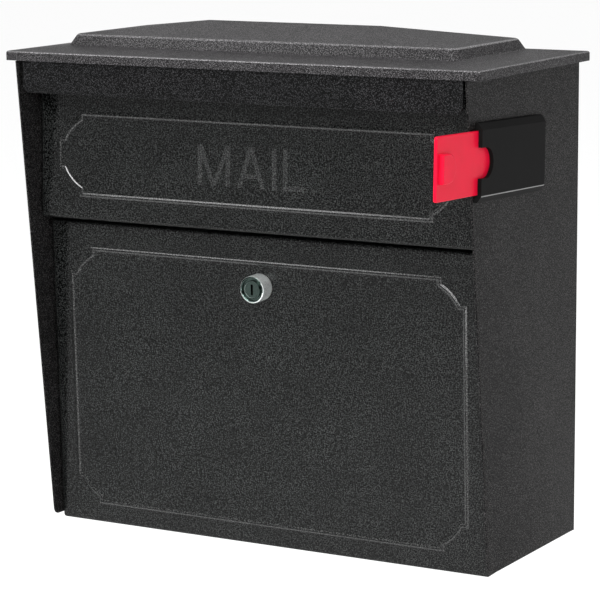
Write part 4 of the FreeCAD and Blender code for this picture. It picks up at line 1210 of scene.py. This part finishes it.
@dataclass
class AccessDoor(Door):
    """Lower door, with the lock's hole and notches for the hinge eyes."""

    lock_hole: float = 8.6 * MM
    eye_places: tuple[float, ...] = (-155.0 * MM, 0.0, 155.0 * MM)
    eye_notch: float = 6.0 * MM

    def build(self) -> None:
        """Make the lower door."""
        door = self.skin([])
        door.thicken(SHEET)
        door.cut(self.rod_bore(), self.lock_bore(), *self.eye_notches())
        door.smooth(28.0)
        self.paint_slope_highlights(door)
        self.seat(door)
        door.fit(self.body, Slot.DOOR, DOOR_COAT, self.node)

    def lock_bore(self) -> Workpiece:
        """Cutter for the lock's hole."""
        turn = Matrix.Rotation(math.radians(self.lean), 3, "X")
        up = self.axis_rise + (turn.transposed() @ (joint_place("lock_turn") - joint_place(self.hinge))).z
        return Workpiece.disc_bar("lock_cutter", self.lock_hole, (0.0, -2 * MM, up), (0.0, 4 * MM, up))

    def eye_notches(self) -> list[Workpiece]:
        """Cutters for the hinge eyes' notches in the lower fold."""
        return [Workpiece.block("eye_cutter", (x - self.eye_notch, self.bend, -MM),
                                (x + self.eye_notch, self.fold + MM, self.bend)) for x in self.eye_places]


# ---- lock ---------------------------------------------------------------------------------------
@dataclass
class Lock:
    """Chromed lock body, turned about its axis, with a ring groove in its face."""

    head: float = 10.2 * MM
    proud: float = 13.0 * MM
    face_round: float = 1.2 * MM
    groove_outer: float = 8.6 * MM
    groove_inner: float = 6.9 * MM
    groove_depth: float = 2.0 * MM
    bore: float = 6.05 * MM
    barrel: float = 8.5 * MM
    barrel_length: float = 16.0 * MM
    turns: int = 72

    def build(self) -> None:
        """Make the lock body."""
        piece = Workpiece.drawn("lock_body_turned", [(r, y, 0.0) for r, y in self.profile()])
        with piece.editing():
            bpy.ops.mesh.select_all(action="SELECT")
            bpy.ops.mesh.spin(steps=self.turns, angle=math.tau, center=(0.0, 0.0, 0.0), axis=(0.0, 1.0, 0.0))
            bpy.ops.mesh.select_all(action="SELECT")
            bpy.ops.mesh.remove_doubles(threshold=TOUCH)
            bpy.ops.mesh.normals_make_consistent(inside=False)
        piece.smooth(30.0)
        axis = Vector(joint_facts("lock_turn")["axis"])
        piece.place(math.atan2(-axis.z, -axis.y), joint_place("lock_turn"))
        rim = self.head - self.face_round / 2
        middle = joint_place("lock_turn")
        depth = middle.y - self.proud + self.groove_depth + self.face_round

        def on_face(face: Any) -> bool:
            """True on the lock's round face, inside its rim."""
            spot = face.calc_center_median()
            return spot.y < depth and math.hypot(spot.x, spot.z - middle.z) < rim

        # The face inside the rim gets the dark chrome: a painted dark reflection.
        piece.accent(CHROME_PAINTED_DARK_REFLECTION, on_face)
        piece.mark_accents()
        piece.fit("access_door", Slot.CHROME, CHROME, "lock_body")

    def profile(self) -> Outline:
        """Half section of the lock body as (radius, depth), front at negative depth.

        Returns:
            The closed outline.
        """
        front = -self.proud
        r = self.face_round
        outer = [(self.head - r + r * math.sin(a), front + r - r * math.cos(a))
                 for a in (math.radians(d) for d in range(0, 91, 18))]
        small = 0.25 * MM
        return [
            (self.bore, front + small), (self.bore + small, front), (self.groove_inner - small, front),
            (self.groove_inner, front + small), (self.groove_inner, front + self.groove_depth),
            (self.groove_outer, front + self.groove_depth), (self.groove_outer, front + small),
            *[(max(radius, self.groove_outer + small), depth) for radius, depth in outer],
            (self.head, -small), (self.head - small, 0.0), (self.barrel, 0.0),
            (self.barrel, self.barrel_length), (self.bore, self.barrel_length),
        ]


# ---- flag ---------------------------------------------------------------------------------------
@dataclass
class FlagSlide:
    """Red flag plate with its raised grip, and the black holder that it slides in."""

    flag_length: float = 96.5 * MM
    flag_height: float = 45.0 * MM
    flag_thickness: float = 2.5 * MM
    flag_corner: float = 2.0 * MM
    flag_round: float = 0.7 * MM
    rib: float = 3.0 * MM
    rib_height: float = 0.9 * MM
    grip_from_edge: float = 4.0 * MM
    grip_length: float = 19.5 * MM
    grip_height: float = 20.8 * MM
    grip_round: float = 1.0 * MM
    holder_length: float = 105.0 * MM
    holder_height: float = 56.0 * MM
    bevel: float = 4.6 * MM
    tail_inside: float = 33.0 * MM      # of the flag, when it is pulled out
    travel: float = 58.1 * MM
    run_spare: float = 2.0 * MM
    bevel_start: float = 2.6 * MM
    clear: float = 0.3 * MM
    notch_depth: float = 18.6 * MM
    notch_clear: float = 0.5 * MM

    def build(self) -> None:
        """Make the flag and its holder."""
        self.flag().fit("flag_slider", Slot.FLAG, FLAG_RED, "flag")
        self.holder().fit("case", Slot.HOLDER, HOLDER_BLACK, "flag_holder")

    def tilt(self) -> float:
        """Angle of the slide about X, from its axis."""
        axis = joint_facts("flag_slide")["axis"]
        return math.atan2(axis[2], axis[1])

    def middle(self, node: str) -> tuple[float, float, float]:
        """Middle of a node's box in Y and Z, with X left at nothing."""
        low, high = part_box(node)
        return 0.0, (low.y + high.y) / 2, (low.z + high.z) / 2

    def flag(self) -> Workpiece:
        """Flag plate, stop rib and grip.

        Returns:
            The finished piece.
        """
        low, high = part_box("flag")
        half = self.flag_height / 2
        inner = low.x
        face = inner + self.flag_thickness
        front, rear = -self.flag_length / 2, self.flag_length / 2
        plate = Workpiece.block("flag_plate", (inner, front, -half), (face, rear, half))
        plate.soften(lambda e: runs_along(e, 0), self.flag_corner, 6)
        plate.soften(lambda e: at(e, 0, face) or at(e, 0, inner), self.flag_round, 4)
        grip_front = front + self.grip_from_edge
        round_end = self.grip_height / 2
        grip_rear = grip_front + self.grip_length
        steps = 20
        outline = [(grip_front, -round_end)]
        for step in range(steps + 1):
            angle = -math.pi / 2 + math.pi * step / steps
            outline.append((grip_rear - round_end + round_end * math.cos(angle), round_end * math.sin(angle)))
        outline.append((grip_front, round_end))
        grip = Workpiece.drawn("grip", [(face - 0.5 * MM, y, z) for y, z in outline])
        with grip.editing():
            bpy.ops.mesh.select_all(action="SELECT")
            bpy.ops.mesh.edge_face_add()
            bpy.ops.mesh.extrude_region_move(
                TRANSFORM_OT_translate={"value": (high.x - face + 0.5 * MM, 0.0, 0.0)})
            bpy.ops.mesh.select_all(action="SELECT")
            bpy.ops.mesh.normals_make_consistent(inside=False)
        grip.soften(lambda e: at(e, 0, high.x), self.grip_round, 4)
        rib = Workpiece.block("stop_rib", (inner + 0.1 * MM, rear - self.rib, self.flag_corner - half),
                              (face + self.rib_height, rear - 0.05 * MM, half - self.flag_corner))
        rib.soften(lambda e: at(e, 0, face + self.rib_height), 0.3 * MM, 3)
        plate.join(grip, rib)
        plate.smooth(35.0)
        plate.place(self.tilt(), self.middle("flag"))
        return plate

    def holder(self) -> Workpiece:
        """Bevelled channel with a finger notch in its front end.

        Returns:
            The finished piece.
        """
        low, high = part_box("flag_holder")
        half = self.holder_height / 2
        front = -self.holder_length / 2
        rear = self.holder_length / 2
        body = Workpiece.block("flag_channel", (low.x, front, -half), (high.x, rear, half))
        with body.editing():
            body.pick(Pick.EDGES, lambda e: runs_along(e, 1) and at(e, 0, high.x))
            bpy.ops.mesh.bevel(offset=1.0 * MM, segments=1, affect="EDGES")
            for side in (-1, 1):
                body.pick(Pick.VERTS, lambda v: v.co.z * side > half - 0.1 * MM and v.co.x > low.x + MM)
                bpy.ops.transform.translate(value=(self.bevel_start - (high.x - low.x - MM), 0.0, 0.0))
                body.pick(Pick.VERTS, lambda v: half - 1.5 * MM < v.co.z * side < half - 0.1 * MM)
                bpy.ops.transform.translate(value=(0.0, 0.0, -side * (self.bevel - MM)))
        flag_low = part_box("flag")[0]
        face = flag_low.x + self.flag_thickness
        inside = self.flag_height / 2 + self.clear
        tail = front + self.tail_inside - self.rib - self.clear
        reach = front + self.tail_inside + self.travel + self.run_spare
        notch_half = self.grip_height / 2 + self.notch_clear
        notch_end = front + self.notch_depth - notch_half
        inner = low.x - MM
        outer = high.x + MM
        mouth = Workpiece.block("mouth", (inner, front - MM, -inside), (face + self.clear, tail + MM, inside))
        run_face = face + self.rib_height + self.clear
        run = Workpiece.block("run", (inner, tail, -inside), (run_face, reach, inside))
        notch = Workpiece.block("notch", (inner, front - MM, -notch_half), (outer, notch_end, notch_half))
        heel = Workpiece.disc_bar("heel", notch_half, (inner, notch_end, 0.0), (outer, notch_end, 0.0))
        body.soften(lambda e: runs_along(e, 1) and not at(e, 0, low.x), 0.5 * MM, 3)
        body.cut(mouth, run, notch, heel)
        body.smooth(25.0)
        # The lower round of the outer face gets light grey: a painted highlight line.
        body.accent(HOLDER_PAINTED_HIGHLIGHT, lambda f: -0.6 < f.normal.z < -0.02 and f.normal.x > 0.7
                    and f.calc_center_median().x > high.x - 0.6 * MM)
        body.mark_accents()
        body.place(self.tilt(), self.middle("flag_holder"))
        return body


# ---- pieces that stay as the frame has them -----------------------------------------------------
@dataclass
class CarriedOver:
    """The frame's own pieces that keep their shape and get their finish."""

    def build(self) -> None:
        """Dress every carried-over piece."""
        finishes: dict[Finish, tuple[str, ...]] = {
            CASE_COAT: ("back_panel", "floor_panel", "top_panel", "cross_rail", "left_door_jamb",
                         "right_door_jamb", "chute_baffle", "fish_comb", "slot_hinge_brackets",
                         "access_hinge_brackets", "lock_backing_plate"),
            ZINC: ("lid_studs", "lid_nuts", "slot_hinge_rod", "access_hinge_rod", "lock_cam", "cam_screw",
                   "flag_holder_screws"),
            CHROME: ("lock_nut",),
            # The plug gets the dark chrome: a painted dark reflection.
            CHROME_PAINTED_DARK_REFLECTION: ("lock_plug",),
            BRASS: ("lock_wafers",),
            RUBBER: ("slot_door_bumpers",),
        }
        for finish, nodes in finishes.items():
            for name in nodes:
                self.dress(name, finish)

    def dress(self, name: str, finish: Finish) -> None:
        """Give one frame piece its finish.

        Args:
            name: the piece's node.
            finish: what it is made of or coated with.
        """
        obj = frame["nodes"][name]
        if not obj.material_slots:
            obj.data.materials.append(None)
        for slot in obj.material_slots:
            slot.material = finish.material()
        LOG.info("%s: dressed in %s", name, finish.name)


# ---- studio -------------------------------------------------------------------------------------
@dataclass
class Studio:
    """Plain pale floor, soft boxes and the camera."""

    floor_drop: float = 0.30
    floor_size: float = 80.0
    sky_low: float = 0.12
    sky_high: float = 1.45
    eye: tuple[float, float, float] = (1.0169, -1.8688, 0.4076)
    yaw: float = 29.94
    pitch: float = 9.63
    roll: float = -0.37
    lens: float = 162.88
    shift: tuple[float, float] = (0.0143, -0.0252)

    def build(self) -> None:
        """Set the floor, the lights and the camera."""
        self.floor()
        self.light("top_softbox", (0.3, -0.6, 2.4), (0.0, -0.1, 0.1), 0.8, 13.0)
        self.light("right_softbox", (2.4, -0.5, 0.9), (0.1, -0.1, 0.0), 1.2, 7.0)
        self.strip("front_strip", (0.82, -1.88, 0.58), (-0.40, -1.52, 1.44), 0.22, 27.0)
        self.light("left_softbox", (-1.0, -1.25, 1.40), (0.0, -0.1, 0.0), 0.5, 5.0)
        self.light("foot_softbox", (1.03, -1.88, -0.33), (0.0, -0.1, 0.05), 0.2, 2.4)
        self.sky()
        self.camera()
        bpy.context.scene.view_settings.view_transform = "Standard"

    def floor(self) -> None:
        """A wide pale floor below the mailbox."""
        Workpiece.clear()
        low = Vector(FRAME_BOX[0])
        bpy.ops.mesh.primitive_plane_add(size=self.floor_size, location=(0.0, 0.0, low.z - self.floor_drop))
        floor = bpy.context.active_object
        floor.name = "studio_floor"
        material = bpy.data.materials.new("pale_floor")
        material.use_nodes = True
        shader = material.node_tree.nodes["Principled BSDF"]
        shader.inputs["Base Color"].default_value = (0.98, 0.98, 0.98, 1.0)
        shader.inputs["Roughness"].default_value = 0.9
        floor.data.materials.append(material)

    def light(self, name: str, place: Point, target: Point, size: float, power: float) -> None:
        """Hang one soft box.

        Args:
            name: its name.
            place: where it hangs.
            target: what it points at.
            size: its width and height.
            power: its power in watts.
        """
        Workpiece.clear()
        bpy.ops.object.light_add(type="AREA", location=place)
        lamp = bpy.context.active_object
        lamp.name = name
        lamp.data.size = size
        lamp.data.energy = power
        lamp.visible_camera = False
        lamp.rotation_euler = (Vector(target) - Vector(place)).to_track_quat("-Z", "Y").to_euler()

    def strip(self, name: str, start: Point, end: Point, width: float, power: float) -> None:
        """Hang one long soft box that faces the mailbox.

        Args:
            name: its name.
            start: middle of one end.
            end: middle of the other end.
            width: its width.
            power: its power in watts.
        """
        start, end = Vector(start), Vector(end)
        middle = (start + end) / 2
        self.light(name, middle, (0.0, -0.1, 0.0), width, power)
        lamp = bpy.context.active_object
        lamp.data.shape = "RECTANGLE"
        lamp.data.size = (end - start).length
        lamp.data.size_y = width
        back = (middle - Vector((0.0, -0.1, 0.0))).normalized()
        along = (end - start).normalized()
        across = back.cross(along).normalized()
        along = across.cross(back)
        lamp.rotation_euler = Matrix((along, across, back)).transposed().to_euler()

    def sky(self) -> None:
        """Even pale light from all round."""
        world = bpy.data.worlds.new("pale_room")
        world.use_nodes = True
        tree = world.node_tree
        back = tree.nodes["Background"]
        back.inputs["Color"].default_value = (1.0, 1.0, 1.0, 1.0)
        place = tree.nodes.new("ShaderNodeTexCoord")
        parts = tree.nodes.new("ShaderNodeSeparateXYZ")
        ramp = tree.nodes.new("ShaderNodeMapRange")
        ramp.inputs["From Min"].default_value = 0.0
        ramp.inputs["From Max"].default_value = 1.0
        ramp.inputs["To Min"].default_value = self.sky_low
        ramp.inputs["To Max"].default_value = self.sky_high
        tree.links.new(place.outputs["Generated"], parts.inputs["Vector"])
        tree.links.new(parts.outputs["Z"], ramp.inputs["Value"])
        tree.links.new(ramp.outputs["Result"], back.inputs["Strength"])
        bpy.context.scene.world = world

    def camera(self) -> None:
        """Set the camera."""
        yaw, pitch, roll = (math.radians(v) for v in (self.yaw, self.pitch, self.roll))
        turn = (Matrix.Rotation(yaw, 4, "Z") @ Matrix.Rotation(math.pi / 2 - pitch, 4, "X")
                @ Matrix.Rotation(roll, 4, "Z"))
        data = bpy.data.cameras.new("studio_camera")
        data.sensor_width = 36.0
        data.lens = self.lens
        data.shift_x, data.shift_y = self.shift
        data.clip_start = 0.05
        data.clip_end = 50.0
        camera = bpy.data.objects.new("studio_camera", data)
        camera.matrix_world = Matrix.Translation(self.eye) @ turn
        bpy.context.scene.collection.objects.link(camera)
        bpy.context.scene.camera = camera


def main() -> None:
    """Build the studio, then every sub-assembly."""
    logging.basicConfig(level=logging.INFO, format="%(message)s")
    slot_door = SlotDoor(
        name="slot_door_skin", node="slot_door_panel", body="slot_door", hinge="slot_door_hinge", lean=-1.69,
        height=113.898 * MM, axis_rise=109.898 * MM, border_low=19.3 * MM,
        border_high=81.498 * MM, open_top=True)
    access_door = AccessDoor(
        name="access_door_skin", node="access_door_panel", body="access_door",
        hinge="access_door_hinge", lean=1.79,
        height=239.967 * MM, axis_rise=10.0 * MM, border_low=17.0 * MM, border_high=218.967 * MM)
    for assembly in (Studio(), Case(), Lid(), slot_door, access_door, Lock(), FlagSlide(), CarriedOver()):
        LOG.info("building %s", type(assembly).__name__)
        assembly.build()
    Workpiece.clear()


if __name__ == "__main__":
    main()
